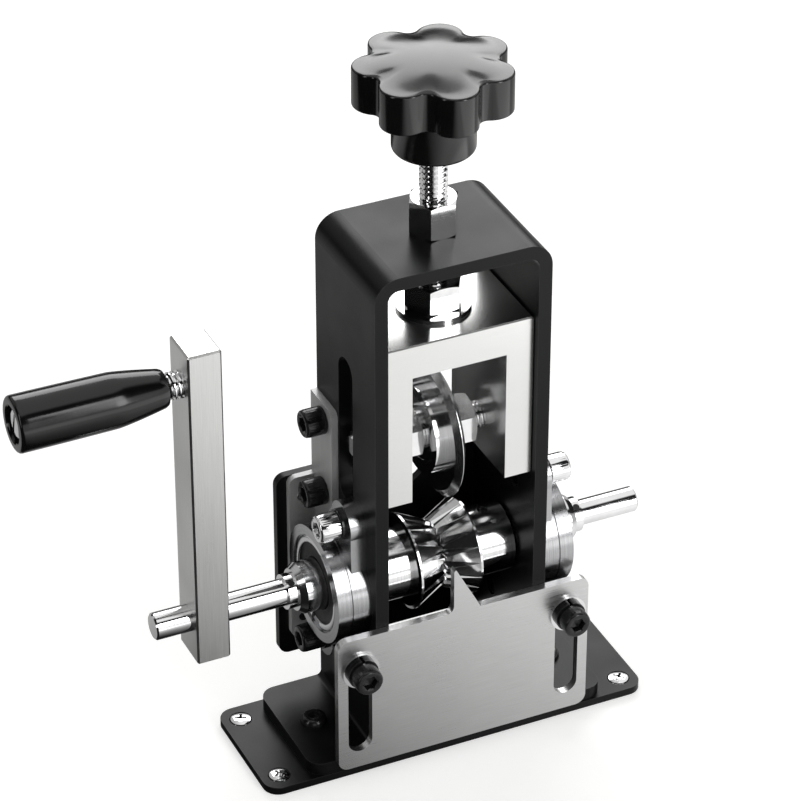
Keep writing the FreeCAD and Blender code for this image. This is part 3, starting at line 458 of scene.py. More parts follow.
def hand_over(piece, body, slot, *replaced):
    """Puts a finished piece on its body, in place of the nodes that it stands for."""
    piece.data.materials.clear()
    piece.data.materials.append(MATERIALS[slot])
    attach(piece, body)
    if replaced:
        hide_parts(*replaced)


# ---- Carried-over nodes --------------------------------------------------------------------------
BROKEN_EDGE_ANGLE = 40  # degrees between two faces, past which their edge is broken
BROKEN_EDGE = {  # width in millimetres
    "base_plate": 0.35, "main_frame": 0.5, "front_plate": 0.3, "rear_guide_plate": 0.4,
    "guide_bracket_left": 0.3, "guide_bracket_right": 0.3, "plate_lugs": 0.3, "carriage": 0.25,
    "bearing_housing_left": 0.5, "bearing_housing_right": 0.5, "crank_arm": 0.12,
    "shaft_stop_rings": 0.25, "drive_shaft": 0.3,
    "bearing_inner_ring_left": 0.2, "bearing_inner_ring_right": 0.2,
    "feed_wheel_left": 0.1, "feed_wheel_right": 0.1, "plate_washers": 0.2, "carriage_washers": 0.25,
}


def dress_nodes():
    """Gives every node its material, and breaks the sharp edges of the larger ones."""
    for name, piece in nodes.items():
        material = MATERIALS[SLOT_OF[name]]
        if piece.material_slots:
            for entry in piece.material_slots:
                entry.material = material
        else:
            piece.data.materials.append(material)
        if name in BROKEN_EDGE:
            bevel = piece.modifiers.new("broken_edge", "BEVEL")
            bevel.width = BROKEN_EDGE[name] * MM
            bevel.segments = 2
            bevel.limit_method = "ANGLE"
            bevel.angle_limit = math.radians(BROKEN_EDGE_ANGLE)
            bevel.harden_normals = True


# ---- Knob ----------------------------------------------------------------------------------------
KNOB_LOBES = 7
KNOB_PHASE = math.radians(8.2)
KNOB_TIP_R = 28.0 * MM
KNOB_LOBE_R = 8.2 * MM
KNOB_VALLEY_R = 4.0 * MM
KNOB_HUB_R = 14.6 * MM
KNOB_HUB_HEIGHT = 18.0 * MM
KNOB_HUB_EDGE = 1.6 * MM
KNOB_FLARE = 0.8 * MM
KNOB_BORE_R = 8.1 * MM
KNOB_RIM = 0.8 * MM
KNOB_UNDERSIDE_SHARE = 0.93
KNOB_DOME = 2.7 * MM
KNOB_DOME_LEAST_R = 20.3 * MM
KNOB_DOME_SPREAD = 0.5       # how far the dome follows a lobe outwards
KNOB_DOME_BLEND = 0.35 * MM
KNOB_ROUND_R = 26.4 * MM     # of the rings near the middle of the top
KNOB_ROUND_UNTIL = 0.35      # share of the way out up to which they are round
KNOB_TURN_OVER = 0.5         # share over which they take on the lobes
KNOB_TOP_RINGS = 34
KNOB_AROUND = 280
KNOB_CRISP_ANGLE = 50


def lobed(angle):
    """Outline of the knob's head: round lobes with a round valley between each pair."""
    half = math.pi / KNOB_LOBES
    off = abs((angle - KNOB_PHASE + half) % (2 * half) - half)
    lobe_at = KNOB_TIP_R - KNOB_LOBE_R
    apart = KNOB_LOBE_R + KNOB_VALLEY_R
    valley_at = lobe_at * math.cos(half) + math.sqrt(apart ** 2 - (lobe_at * math.sin(half)) ** 2)
    share = KNOB_LOBE_R / apart
    meeting_x = lobe_at + share * (valley_at * math.cos(half) - lobe_at)
    meeting_y = share * valley_at * math.sin(half)
    if off < math.atan2(meeting_y, meeting_x):
        return lobe_at * math.cos(off) + math.sqrt(KNOB_LOBE_R ** 2 - (lobe_at * math.sin(off)) ** 2)
    rest = half - off
    return valley_at * math.cos(rest) - math.sqrt(KNOB_VALLEY_R ** 2 - (valley_at * math.sin(rest)) ** 2)


def scaled_lobes(share, inset=0.0):
    """The outline drawn in, turning round as it nears the middle."""
    weight = min(1.0, max(0.0, (share - KNOB_ROUND_UNTIL) / KNOB_TURN_OVER))
    weight = weight * weight * (3 - 2 * weight)

    def rule(angle):
        full = lobed(angle) - inset
        return share * (weight * full + (1 - weight) * KNOB_ROUND_R)
    return rule


def knob_top(rim_top, share):
    """Height of the top on one ring: a low dome that ends at the valleys and part way out on the lobes."""
    def rule(radius):
        beyond = radius / share - KNOB_DOME_LEAST_R
        dome_r = KNOB_DOME_LEAST_R + KNOB_DOME_SPREAD * beyond
        cap = KNOB_DOME * (1 - (radius / dome_r) ** 2)
        return rim_top + KNOB_DOME_BLEND * math.log(1 + math.exp(cap / KNOB_DOME_BLEND))
    return rule


def make_knob():
    """Moulded knob: round hub, lobed head with thin round rims, and a low dome on top."""
    low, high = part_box("knob")
    base = low.z
    head_low = base + KNOB_HUB_HEIGHT
    rim_top = high.z - KNOB_DOME
    rings = [(base, KNOB_BORE_R)]
    for angle in quarter_turn(RIM_STEPS):
        inset = KNOB_HUB_EDGE * (1 - math.sin(angle))
        rings.append((base + KNOB_HUB_EDGE * (1 - math.cos(angle)), KNOB_HUB_R - inset))
    rings += [(head_low - KNOB_FLARE, KNOB_HUB_R), (head_low, KNOB_HUB_R + KNOB_FLARE)]
    rings.append((head_low, scaled_lobes(KNOB_UNDERSIDE_SHARE)))
    for angle in quarter_turn(RIM_STEPS):
        inset = KNOB_RIM * (1 - math.sin(angle))
        rings.append((head_low + KNOB_RIM * (1 - math.cos(angle)), scaled_lobes(1.0, inset)))
    for angle in quarter_turn(RIM_STEPS):
        inset = KNOB_RIM * (1 - math.cos(angle))
        rings.append((rim_top - KNOB_RIM * (1 - math.sin(angle)), scaled_lobes(1.0, inset)))
    for step in range(1, KNOB_TOP_RINGS):
        share = 1 - step / KNOB_TOP_RINGS
        rings.append((knob_top(rim_top, share), scaled_lobes(share, KNOB_RIM)))
    bm = bmesh.new()
    add_loft(bm, rings, KNOB_AROUND, Matrix.Identity(4))
    knob = new_object("knob_moulding", bm, KNOB_CRISP_ANGLE)
    hand_over(knob, "adjuster", "knob_plastic", "knob")


# ---- Threaded pieces -----------------------------------------------------------------------------
THREAD_R = 5.0 * MM
THREAD_TIP = 0.6 * MM        # how far the bevelled end is drawn in below the root
THREAD_FLANK = 1.9           # ridge heights that a side would rise over half a turn's pitch
THREAD_ROOT = 0.4            # share that the ridges are lowered by, which leaves the root flat
THREAD_CRISP_ANGLE = 30
SPINDLE_ROOT_R = 4.0 * MM
SPINDLE_PITCH = 2.0 * MM
AXLE_ROOT_R = 4.15 * MM
AXLE_PITCH = 1.5 * MM
STUD_ROOT_R = 4.1 * MM
STUD_PITCH = 1.75 * MM
STUD_CLEARANCE = 0.1 * MM    # between the grip's end and the stud


def add_thread(bm, minor, pitch, low, high, place, around=40, across=8):
    """A screw thread along local Z with bevelled ends: points around a turn, rows across a ridge."""
    end_r = minor - THREAD_TIP

    def radius_at(row, height):
        share = (row % across) / across
        crest = 1 - abs(2 * share - 1)
        ridge = minor + (THREAD_R - minor) * min(1.0, max(0.0, crest * THREAD_FLANK - THREAD_ROOT))
        return min(ridge, end_r + (height - low), end_r + (high - height))

    rows = int((high - low) / pitch * across) + 2 * across
    grid = []
    for row in range(rows + 1):
        line = []
        for step in range(around + 1):
            height = low - pitch + pitch * (row / across + step / around)
            height = min(high, max(low, height))
            angle = 2 * math.pi * step / around
            line.append(bm.verts.new(place @ round_point(angle, radius_at(row, height), height)))
        grid.append(line)
    for lower, upper in zip(grid, grid[1:]):
        for step in range(around):
            bm.faces.new((lower[step], lower[step + 1], upper[step + 1], upper[step]))
    bmesh.ops.remove_doubles(bm, verts=bm.verts, dist=WELD)
    bmesh.ops.dissolve_degenerate(bm, dist=SLIVER, edges=bm.edges)
    open_edges = [edge for edge in bm.edges if edge.is_boundary]
    bmesh.ops.holes_fill(bm, edges=open_edges, sides=0)


def make_spindle():
    """Screw spindle with its thread."""
    low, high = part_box("spindle")
    bm = bmesh.new()
    add_thread(bm, SPINDLE_ROOT_R, SPINDLE_PITCH, low.z, high.z, Matrix.Identity(4))
    spindle = new_object("spindle_screw", bm, THREAD_CRISP_ANGLE)
    hand_over(spindle, "adjuster", "bright_steel", "spindle")


def make_axle():
    """Threaded axle of the blade."""
    low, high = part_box("blade_axle")
    bm = bmesh.new()
    place = facing(BLADE_CENTRE, X_AXIS)
    add_thread(bm, AXLE_ROOT_R, AXLE_PITCH, low.x, high.x, place, around=32, across=6)
    axle = new_object("blade_axle_screw", bm, THREAD_CRISP_ANGLE)
    hand_over(axle, "carriage", "bright_steel", "blade_axle")


# ---- Handle --------------------------------------------------------------------------------------
PIVOT_R = 3.5 * MM
PIVOT_HEAD_R = 5.35 * MM
PIVOT_HEAD_HEIGHT = 2.4 * MM
PIVOT_CROWN = ((0.0, 2.0), (0.15, 4.0), (0.5, 4.9))  # (depth below the crown, radius) in millimetres
PIVOT_CROWN_DEPTH = 0.9 * MM
PIVOT_REACH = 0.3 * MM       # past the grip's end, into the stud
PIVOT_SLOT = (2.4 * MM, 1.5 * MM, 14.0 * MM)         # twice its depth, its width and its length
PIVOT_SLOT_TILT = math.radians(12)
GRIP_R = 10.1 * MM
GRIP_WAIST_R = 9.8 * MM
GRIP_NECK_R = 6.4 * MM
GRIP_BORE_R = 3.6 * MM
GRIP_RECESS_R = 6.5 * MM
GRIP_RECESS_DEPTH = 3.2 * MM
GRIP_RECESS_LIP = 0.5 * MM
GRIP_RECESS_DRAFT = 0.1 * MM
GRIP_EDGE = 1.3 * MM
GRIP_TAPER = 19.0 * MM       # length of the part that narrows to the neck
GRIP_TAPER_CURVE = 0.45      # a straight taper has 0
GRIP_CURVE_POWER = 1.5
GRIP_NECK_SHOULDER = 1.4 * MM
GRIP_NECK_STEP = 0.5 * MM
GRIP_NECK_ROUND = 1.2 * MM
GRIP_RINGS = 24
GRIP_CRISP_ANGLE = 32


def make_handle_bolt():
    """Shoulder bolt of the grip: threaded stud in the arm, slotted head in the grip's recess."""
    low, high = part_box("handle_bolt")
    grip_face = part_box("handle_grip")[1].x
    centre = (0, 0, handle_z)
    bm = bmesh.new()
    add_thread(bm, STUD_ROOT_R, STUD_PITCH, grip_face + STUD_CLEARANCE, high.x, facing(centre, X_AXIS))
    stud = new_object("handle_stud", bm, THREAD_CRISP_ANGLE)
    hand_over(stud, "drive_train", "bright_steel", "handle_bolt")
    rings = [(low.x + depth * MM, r * MM) for depth, r in PIVOT_CROWN]
    rings += [(low.x + PIVOT_CROWN_DEPTH, PIVOT_HEAD_R), (low.x + PIVOT_HEAD_HEIGHT, PIVOT_HEAD_R)]
    rings += [(low.x + PIVOT_HEAD_HEIGHT, PIVOT_R), (grip_face + PIVOT_REACH, PIVOT_R)]
    bm = bmesh.new()
    add_loft(bm, rings, SMALL_ROUND_COUNT, facing(centre, X_AXIS))
    bolt = new_object("handle_pivot", bm)
    slot_place = Matrix.Translation((low.x, 0, handle_z)) @ Matrix.Rotation(PIVOT_SLOT_TILT, 4, "X")
    carve(bolt, box_cutter("slot_cutter", PIVOT_SLOT, slot_place))
    hand_over(bolt, "drive_train", "bright_steel", "handle_bolt")


def grip_radius(along, kink, end):
    """Radius of the grip: slightly swollen up to the kink, then narrowing to the neck."""
    if along < kink:
        return GRIP_R + (GRIP_WAIST_R - GRIP_R) * (along / kink) ** GRIP_CURVE_POWER
    share = (along - kink) / (end - kink)
    curve = (1 - GRIP_TAPER_CURVE) * share + GRIP_TAPER_CURVE * share ** GRIP_CURVE_POWER
    return GRIP_WAIST_R + (GRIP_NECK_R + GRIP_NECK_STEP - GRIP_WAIST_R) * curve


def make_grip():
    """Turned grip, barrel-shaped towards its free end, with a recess there for the bolt's head."""
    low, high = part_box("handle_grip")
    length = high.x - low.x
    rings = [(low.x + GRIP_RECESS_DEPTH, GRIP_BORE_R), (low.x + GRIP_RECESS_DEPTH, GRIP_RECESS_R)]
    rings.append((low.x + GRIP_RECESS_LIP, GRIP_RECESS_R + GRIP_RECESS_DRAFT))
    rings.append((low.x, GRIP_RECESS_R + GRIP_RECESS_DRAFT + GRIP_RECESS_LIP))
    for angle in reversed(quarter_turn(RIM_STEPS)):
        inset = GRIP_EDGE * (1 - math.cos(angle))
        rings.append((low.x + GRIP_EDGE * (1 - math.sin(angle)), GRIP_R - inset))
    end = length - GRIP_NECK_SHOULDER
    for step in range(1, GRIP_RINGS + 1):
        along = GRIP_EDGE + (end - GRIP_EDGE) * step / GRIP_RINGS
        rings.append((low.x + along, grip_radius(along, length - GRIP_TAPER, end)))
    rings += [(high.x - GRIP_NECK_STEP, GRIP_NECK_R), (high.x, GRIP_NECK_R - GRIP_NECK_ROUND)]
    rings.append((high.x, GRIP_BORE_R))
    bm = bmesh.new()
    add_loft(bm, rings, ROUND_COUNT, facing((0, 0, handle_z), X_AXIS), looped=True)
    grip = new_object("grip_moulding", bm, GRIP_CRISP_ANGLE)
    hand_over(grip, "handle", "grip_plastic", "handle_grip")


# ---- Bearing faces -------------------------------------------------------------------------------
SEAL_INNER_R = 9.8 * MM
SEAL_LIP = 0.9 * MM          # width of the raised band at each rim
SEAL_DISH = 0.25 * MM        # how far the middle is sunk
SEAL_SLOPE = 0.4 * MM
SEAL_EDGE = (0.2 * MM, 0.25 * MM)                            # height and width of the rim's bevel
SEAL_CRISP_ANGLE = 34
SNAP_RING_INNER_R = 15.2 * MM
SNAP_RING_OPENING = math.radians(24)
SNAP_RING_SUNK = 0.45 * MM
SNAP_RING_INSIDE = ((0.3, 0.0), (0.08, 0.25), (0.0, 0.8))    # (below the face, out from the bore)
SNAP_RING_OUTSIDE = ((0.0, 1.3), (0.12, 0.8), (0.4, 0.4))    # (below the face, in from the rim)
SNAP_RING_SLACK = 0.3 * MM   # at the back, in its groove
SNAP_RING_CRISP_ANGLE = 50


def make_snap_rings():
    """Snap rings sunk a little into the housings, with rounded faces and an opening below."""
    bm = bmesh.new()
    for low, high in islands("bearing_snap_rings"):
        outer = (high.y - low.y) / 2
        outward = math.copysign(1, low.x)
        half = (high.x - low.x) / 2
        face = half - SNAP_RING_SUNK
        middle = Vector(((low.x + high.x) / 2, 0, shaft_z))
        profile = [(-half, SNAP_RING_INNER_R)]
        profile += [(face - below * MM, SNAP_RING_INNER_R + out * MM) for below, out in SNAP_RING_INSIDE]
        profile += [(face - below * MM, outer - inwards * MM) for below, inwards in SNAP_RING_OUTSIDE]
        profile.append((-half, outer - SNAP_RING_SLACK))
        profile = [(outward * height, r) for height, r in profile]
        add_open_ring(bm, profile, SNAP_RING_OPENING, ROUND_COUNT, facing(middle, X_AXIS))
    rings = new_object("bearing_snap_rings_rounded", bm, SNAP_RING_CRISP_ANGLE)
    hand_over(rings, "stand", "bearing_steel", "bearing_snap_rings")


def make_seals():
    """Rubber seals of the shaft bearings: dished on both faces, with a bevelled lip at each rim."""
    bm = bmesh.new()
    bevel_height, bevel_width = SEAL_EDGE
    for low, high in islands("bearing_seals"):
        outer = (high.z - low.z) / 2
        half = (high.x - low.x) / 2
        sunk = half - SEAL_DISH
        middle = Vector(((low.x + high.x) / 2, 0, shaft_z))
        face = [(half - bevel_height, SEAL_INNER_R), (half, SEAL_INNER_R + bevel_width)]
        face += [(half, SEAL_INNER_R + SEAL_LIP), (sunk, SEAL_INNER_R + SEAL_LIP + SEAL_SLOPE)]
        face += [(sunk, outer - SEAL_LIP - SEAL_SLOPE), (half, outer - SEAL_LIP)]
        face += [(half, outer - bevel_width), (half - bevel_height, outer)]
        rings = face + [(-height, radius) for height, radius in reversed(face)]
        add_loft(bm, rings, ROUND_COUNT, facing(middle, X_AXIS), looped=True)
    seals = new_object("bearing_seals_dished", bm, SEAL_CRISP_ANGLE)
    hand_over(seals, "stand", "seal_rubber", "bearing_seals")


# ---- Screws --------------------------------------------------------------------------------------
# The sizes of the cap and button screws are in millimetres, for M6.
SCREW_CRISP_ANGLE = 34
SHANK_R = 3.0
SHANK_CHAMFER = 0.4
CAP_R = 5.2
CAP_FOOT = ((0.0, 0.35), (0.25, 0.1))                        # (height, in from the head's radius)
CAP_RIM = ((1.2, 0.12), (0.7, 0.12), (0.2, 0.45), (0.0, 0.8))  # (below the top, in from that radius)
CAP_SOCKET = 5.0             # across flats
CAP_SOCKET_MOUTH_R = 3.15
CAP_SOCKET_CHAMFER = 0.3
CAP_SOCKET_DEPTH = 3.0
CAP_SOCKET_TIP = (3.6, 0.6)                                  # depth and radius of the drill's mark
KNURLS = 30
KNURL_DEPTH = 0.1
KNURL_LOW = 0.5              # above the head's underside
KNURL_HIGH = 1.5             # below the head's top
BUTTON_R = 5.0
BUTTON_FOOT_R = 4.9
BUTTON_FOOT_HEIGHT = 0.35
BUTTON_DOME_START = 12       # degrees
BUTTON_DOME_SWEEP = 62
BUTTON_DOME_STEPS = 6
BUTTON_DOME_INSET = 2.3
BUTTON_DOME_TURN = 0.92      # how fast the dome's side leans in
BUTTON_DOME_LIFT = 1.04      # share of the height that the dome aims at
BUTTON_MOUTH_R = 2.95
BUTTON_SOCKET = 4.0
BUTTON_SOCKET_CHAMFER = 0.15
BUTTON_SOCKET_DEPTH = 1.6
BUTTON_SOCKET_TIP = (2.0, 0.5)
FOOT_SCREW_HEAD = 2.8 * MM


def hexagon_rule(flats):
    """Radius of a hexagon at each angle."""
    def rule(angle):
        return flats / 2 / math.cos(angle % (math.pi / 3) - math.pi / 6)
    return rule


def knurl_rule(radius, depth, count):
    """Radius of a head with fine upright ridges."""
    def rule(angle):
        return radius - depth * (0.5 - 0.5 * math.cos(count * angle))
    return rule


def add_cap_screw(bm, at, along, head_height, shank):
    """Socket cap screw: knurled head, smooth bevelled rim, hexagon socket, plain shank behind."""
    ridged = knurl_rule(CAP_R * MM, KNURL_DEPTH * MM, KNURLS)
    socket = hexagon_rule(CAP_SOCKET * MM)
    tip_depth, tip_r = CAP_SOCKET_TIP
    top = head_height
    rings = [(-shank, (SHANK_R - SHANK_CHAMFER) * MM), (SHANK_CHAMFER * MM - shank, SHANK_R * MM)]
    rings.append((0.0, SHANK_R * MM))
    rings += [(height * MM, (CAP_R - inset) * MM) for height, inset in CAP_FOOT]
    rings += [(KNURL_LOW * MM, ridged), (top - KNURL_HIGH * MM, ridged)]
    rings += [(top - below * MM, (CAP_R - inset) * MM) for below, inset in CAP_RIM]
    rings += [(top, CAP_SOCKET_MOUTH_R * MM), (top - CAP_SOCKET_CHAMFER * MM, socket)]
    rings += [(top - CAP_SOCKET_DEPTH * MM, socket), (top - tip_depth * MM, tip_r * MM)]
    add_loft(bm, rings, KNURLS * 4, facing(at, along))


def add_button_screw(bm, at, along, height, shank, size=1.0):
    """Low round-headed socket screw, drawn for M6 and scaled for other sizes."""
    unit = size * MM
    tip_depth, tip_r = BUTTON_SOCKET_TIP
    rings = [(-shank, (SHANK_R - SHANK_CHAMFER) * unit), (SHANK_CHAMFER * unit - shank, SHANK_R * unit)]
    rings += [(0, SHANK_R * unit), (0, BUTTON_FOOT_R * unit), (BUTTON_FOOT_HEIGHT * unit, BUTTON_R * unit)]
    for step in range(1, BUTTON_DOME_STEPS + 1):
        angle = math.radians(BUTTON_DOME_START + BUTTON_DOME_SWEEP * step / BUTTON_DOME_STEPS)
        inset = BUTTON_DOME_INSET * (1 - math.cos(angle * BUTTON_DOME_TURN))
        rings.append((height * math.sin(angle) * BUTTON_DOME_LIFT, (BUTTON_R - inset) * unit))
    socket = hexagon_rule(BUTTON_SOCKET * unit)
    rings += [(height, BUTTON_MOUTH_R * unit), (height - BUTTON_SOCKET_CHAMFER * unit, socket)]
    rings += [(height - BUTTON_SOCKET_DEPTH * unit, socket), (height - tip_depth * unit, tip_r * unit)]
    add_loft(bm, rings, ROUND_COUNT, facing(at, along))


def seats(node, axis, sign):
    """For each screw of a node: the middle of its head's end, its length, and its direction.

    With no sign, the heads point away from the middle of the machine."""
    found = []
    for low, high in islands(node):
        middle = (low + high) / 2
        outward = sign if sign else math.copysign(1, middle[axis])
        head = middle.copy()
        head[axis] = high[axis] if outward > 0 else low[axis]
        direction = Vector((0, 0, 0))
        direction[axis] = outward
        found.append((head, high[axis] - low[axis], direction))
    return found


CAP_SCREWS = (
    # node, material, axis (X is 0), the side that the heads point to, height of a head
    ("plate_screws", "black_oxide", 1, -1, 6.0 * MM),
    ("bracket_screws", "black_oxide", 0, 0, 8.0 * MM),
    ("flange_screws_upper", "bright_steel", 0, 0, 8.0 * MM),
    ("flange_screws_lower", "black_oxide", 0, 0, 8.0 * MM),
)


def make_cap_screws():
    """Detailed cap screws in place of the groups of plain ones."""
    for node, slot, axis, sign, head_height in CAP_SCREWS:
        bm = bmesh.new()
        for head, length, direction in seats(node, axis, sign):
            add_cap_screw(bm, head - direction * head_height, direction, head_height, length - head_height)
        hand_over(new_object(node + "_detailed", bm, SCREW_CRISP_ANGLE), "stand", slot, node)


def make_foot_screws():
    """Button screws of the feet."""
    bm = bmesh.new()
    height = FOOT_SCREW_HEAD
    for head, length, direction in seats("foot_screws", axis=2, sign=1):
        add_button_screw(bm, head - direction * height, direction, height, length - height)
    screws = new_object("foot_screws_detailed", bm, SCREW_CRISP_ANGLE)
    hand_over(screws, "stand", "black_oxide", "foot_screws")


def make_rear_screws():
    """Small button screws that hold the rear plate from behind."""
    bm = bmesh.new()
    low, high = islands("guide_plate_screws")[0]
    size = (high.x - low.x) / 2 / (BUTTON_R * MM)
    height = high.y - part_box("rear_guide_plate")[1].y
    for head, length, direction in seats("guide_plate_screws", axis=1, sign=1):
        add_button_screw(bm, head - direction * height, direction, height, length - height, size)
    screws = new_object("rear_screws_detailed", bm, SCREW_CRISP_ANGLE)
    hand_over(screws, "stand", "bright_steel", "guide_plate_screws")


# ---- Bench screws --------------------------------------------------------------------------------
BENCH_SHANK_LOW = 0.3 * MM   # above the bench
BENCH_SHANK_INSET = 0.5 * MM
BENCH_NECK_INSET = 0.45 * MM
BENCH_NECK_DEPTH = 2.0 * MM
BENCH_HEAD = ((-0.3, 3.55), (0.0, 3.75), (0.18, 3.7), (0.55, 2.6), (0.72, 1.2), (0.76, 0.3))
CROSS_HEIGHT = 0.75 * MM
CROSS_SLOT = (4.6 * MM, 1.1 * MM, 2.6 * MM)
CROSS_TURNS = (20, 65, 40, 5)  # degrees


def make_bench_screws():
    """Four countersunk cross-head wood screws in the base plate's corners.

    A head's outline is (height above the plate, radius) in millimetres."""
    plate_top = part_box("base_plate")[1].z
    half_x = bench_holes["spacing_x_mm"] * MM / 2
    half_y = bench_holes["spacing_y_mm"] * MM / 2
    hole_r = bench_holes["hole_r_mm"] * MM
    rings = [(BENCH_SHANK_LOW, hole_r - BENCH_SHANK_INSET)]
    rings.append((plate_top - BENCH_NECK_DEPTH, hole_r - BENCH_NECK_INSET))
    rings += [(plate_top + height * MM, r * MM) for height, r in BENCH_HEAD]
    places = [(sx * half_x, sy * half_y) for sx in (-1, 1) for sy in (-1, 1)]
    for number, ((x, y), turn) in enumerate(zip(places, CROSS_TURNS), 1):
        bm = bmesh.new()
        add_loft(bm, rings, SMALL_ROUND_COUNT, Matrix.Translation((x, y, 0)))
        screw = new_object("bench_screw_%d" % number, bm)
        for quarter in (0, 90):
            place = Matrix.Translation((x, y, plate_top + CROSS_HEIGHT))
            place = place @ Matrix.Rotation(math.radians(turn + quarter), 4, "Z")
            carve(screw, box_cutter("cross_cutter", CROSS_SLOT, place))
        hand_over(screw, "stand", "bright_steel")


# ---- Studio --------------------------------------------------------------------------------------
WHITE = (1.0, 1.0, 0.992, 1.0)
# Brightness of the painted reflections that polished pieces see: dark and grey patches, the white room,
# the table.
DARK = 0.012
GREY = 0.5
BRIGHT = 1.0
TABLE_BRIGHT = 1.1
TABLE_FAR_BRIGHT = 0.8         # added at the far right
TABLE_BACK_GREY = 0.6
SIDE = (0.908, -0.419, 0.0)    # to the camera's right
FRONT = (-0.419, -0.908, 0.0)  # towards the camera
SIDE_SHIFT = 0.0733            # metres
FRONT_SHIFT = 0.0559
FLOOR_COLOUR = (0.72, 0.72, 0.715, 1)
FLOOR_GLOW = 0.5
FLOOR_HALF = 4.0               # metres
FLOOR_DROP = 0.3 * MM          # below the base plate, so that the two faces don't fight
ROOM_LIGHT = 0.45              # strength of the world where it lights dull pieces
# Where the painted reflection of the table changes, in metres to the side or to the front.
TABLE_MIDDLE = (-0.03, 0.03)
TABLE_RIGHT = (0.0, 0.21)
TABLE_FAR_RIGHT = (0.31, 0.37)
TABLE_LEFT_END = (-0.1, -0.02)
TABLE_BACK = (-0.17, -0.13)
TABLE_BACK_LEFT = (-0.15, -0.1)
TABLE_BACK_RIGHT = (0.1, 0.2)
# Where the painted reflection of the room changes, as shares of a direction to the side, to the front or
# up.
ROOM_MIDDLE = (-0.25, 0.05)
ROOM_FRONT_LEFT = (-0.1, 0.05)
FRONT_DARK_PATCH_FOOT = (0.36, 0.44)
FRONT_DARK_PATCH_TOP = (0.8, 0.88)
ROOM_BACK_LEFT = (-0.4, 0.1)
BACK_DARK_PATCH_TOP = (0.14, 0.34)


class Wires:
    """Short names for the nodes of the floor and the world."""

    def __init__(self, tree):
        self.tree = tree
        path = tree.nodes.new("ShaderNodeLightPath")
        self.mirror = path.outputs["Is Glossy Ray"]
        self.shown = self.math("MAXIMUM", path.outputs["Is Camera Ray"], self.mirror)
        self.shown = self.math("MAXIMUM", self.shown, path.outputs["Is Transmission Ray"])

    def put(self, value, target):
        """Links an output to a socket, or writes a number into it."""
        if isinstance(value, (int, float)):
            target.default_value = value
        else:
            self.tree.links.new(value, target)

    def math(self, operation, first, second):
        """A sum, a product or the like."""
        made = self.tree.nodes.new("ShaderNodeMath")
        made.operation = operation
        self.put(first, made.inputs[0])
        self.put(second, made.inputs[1])
        return made.outputs["Value"]

    def along(self, vector, direction):
        """How far a vector goes in a direction."""
        made = self.tree.nodes.new("ShaderNodeVectorMath")
        made.operation = "DOT_PRODUCT"
        self.tree.links.new(vector, made.inputs[0])
        made.inputs[1].default_value = direction
        return made.outputs["Value"]

    def ramp(self, value, span, low=0.0, high=1.0, kind="SMOOTHSTEP"):
        """A soft step from one value to another over a span."""
        made = self.tree.nodes.new("ShaderNodeMapRange")
        made.interpolation_type = kind
        made.inputs["From Min"].default_value = span[0]
        made.inputs["From Max"].default_value = span[1]
        made.inputs["To Min"].default_value = low
        made.inputs["To Max"].default_value = high
        self.tree.links.new(value, made.inputs["Value"])
        return made.outputs["Result"]

    def mix(self, share, first, second):
        """The first value where the share is 0, the second where it is 1."""
        made = self.tree.nodes.new("ShaderNodeMix")
        self.put(share, made.inputs["Factor"])
        self.put(first, made.inputs["A"])
        self.put(second, made.inputs["B"])
        return made.outputs["Result"]

    def emission(self, strength):
        """A white glow."""
        made = self.tree.nodes.new("ShaderNodeEmission")
        made.inputs["Color"].default_value = WHITE
        self.put(strength, made.inputs["Strength"])
        return made.outputs[0]


def painted_floor_reflection(wires, position):
    """Painted reflection of the table for polished pieces, a glow that glossy rays alone see: white at the
    right, dark at the left and behind.

    Places are in metres to the side and to the front, as the camera of the main view stands."""
    side = wires.math("ADD", wires.along(position, SIDE), SIDE_SHIFT)
    front = wires.math("SUBTRACT", wires.along(position, FRONT), FRONT_SHIFT)
    right = wires.ramp(side, TABLE_RIGHT, DARK, TABLE_BRIGHT, "LINEAR")
    right = wires.math("ADD", right, wires.ramp(side, TABLE_FAR_RIGHT, 0.0, TABLE_FAR_BRIGHT))
    left = wires.ramp(front, TABLE_LEFT_END, GREY, DARK)
    before = wires.mix(wires.ramp(side, TABLE_MIDDLE), left, right)
    back_left = wires.ramp(side, TABLE_BACK_LEFT, GREY, DARK)
    back_right = wires.ramp(side, TABLE_BACK_RIGHT, DARK, TABLE_BACK_GREY)
    behind = wires.math("MAXIMUM", back_left, back_right)
    return wires.mix(wires.ramp(front, TABLE_BACK), behind, before)


def make_floor():
    """Pale floor that looks white and keeps the object's shadow; glossy rays see a painted reflection on
    it instead of the lit floor.
    """
    bm = bmesh.new()
    bmesh.ops.create_grid(bm, x_segments=8, y_segments=8, size=FLOOR_HALF)
    floor = new_object("floor", bm)
    floor.location.z = -FLOOR_DROP
    material = bpy.data.materials.new("floor")
    material.use_nodes = True
    tree = material.node_tree
    tree.nodes.clear()
    wires = Wires(tree)
    position = tree.nodes.new("ShaderNodeNewGeometry").outputs["Position"]
    diffuse = tree.nodes.new("ShaderNodeBsdfDiffuse")
    diffuse.inputs["Color"].default_value = FLOOR_COLOUR
    shown = tree.nodes.new("ShaderNodeAddShader")
    wires.put(diffuse.outputs[0], shown.inputs[0])
    wires.put(wires.emission(wires.math("MULTIPLY", wires.shown, FLOOR_GLOW)), shown.inputs[1])
    # Glossy rays get the painted reflection in place of the lit floor.
    swap = tree.nodes.new("ShaderNodeMixShader")
    wires.put(wires.mirror, swap.inputs["Fac"])
    wires.put(shown.outputs[0], swap.inputs[1])
    wires.put(wires.emission(painted_floor_reflection(wires, position)), swap.inputs[2])
    output = tree.nodes.new("ShaderNodeOutputMaterial")
    wires.put(swap.outputs[0], output.inputs["Surface"])
    floor.data.materials.append(material)


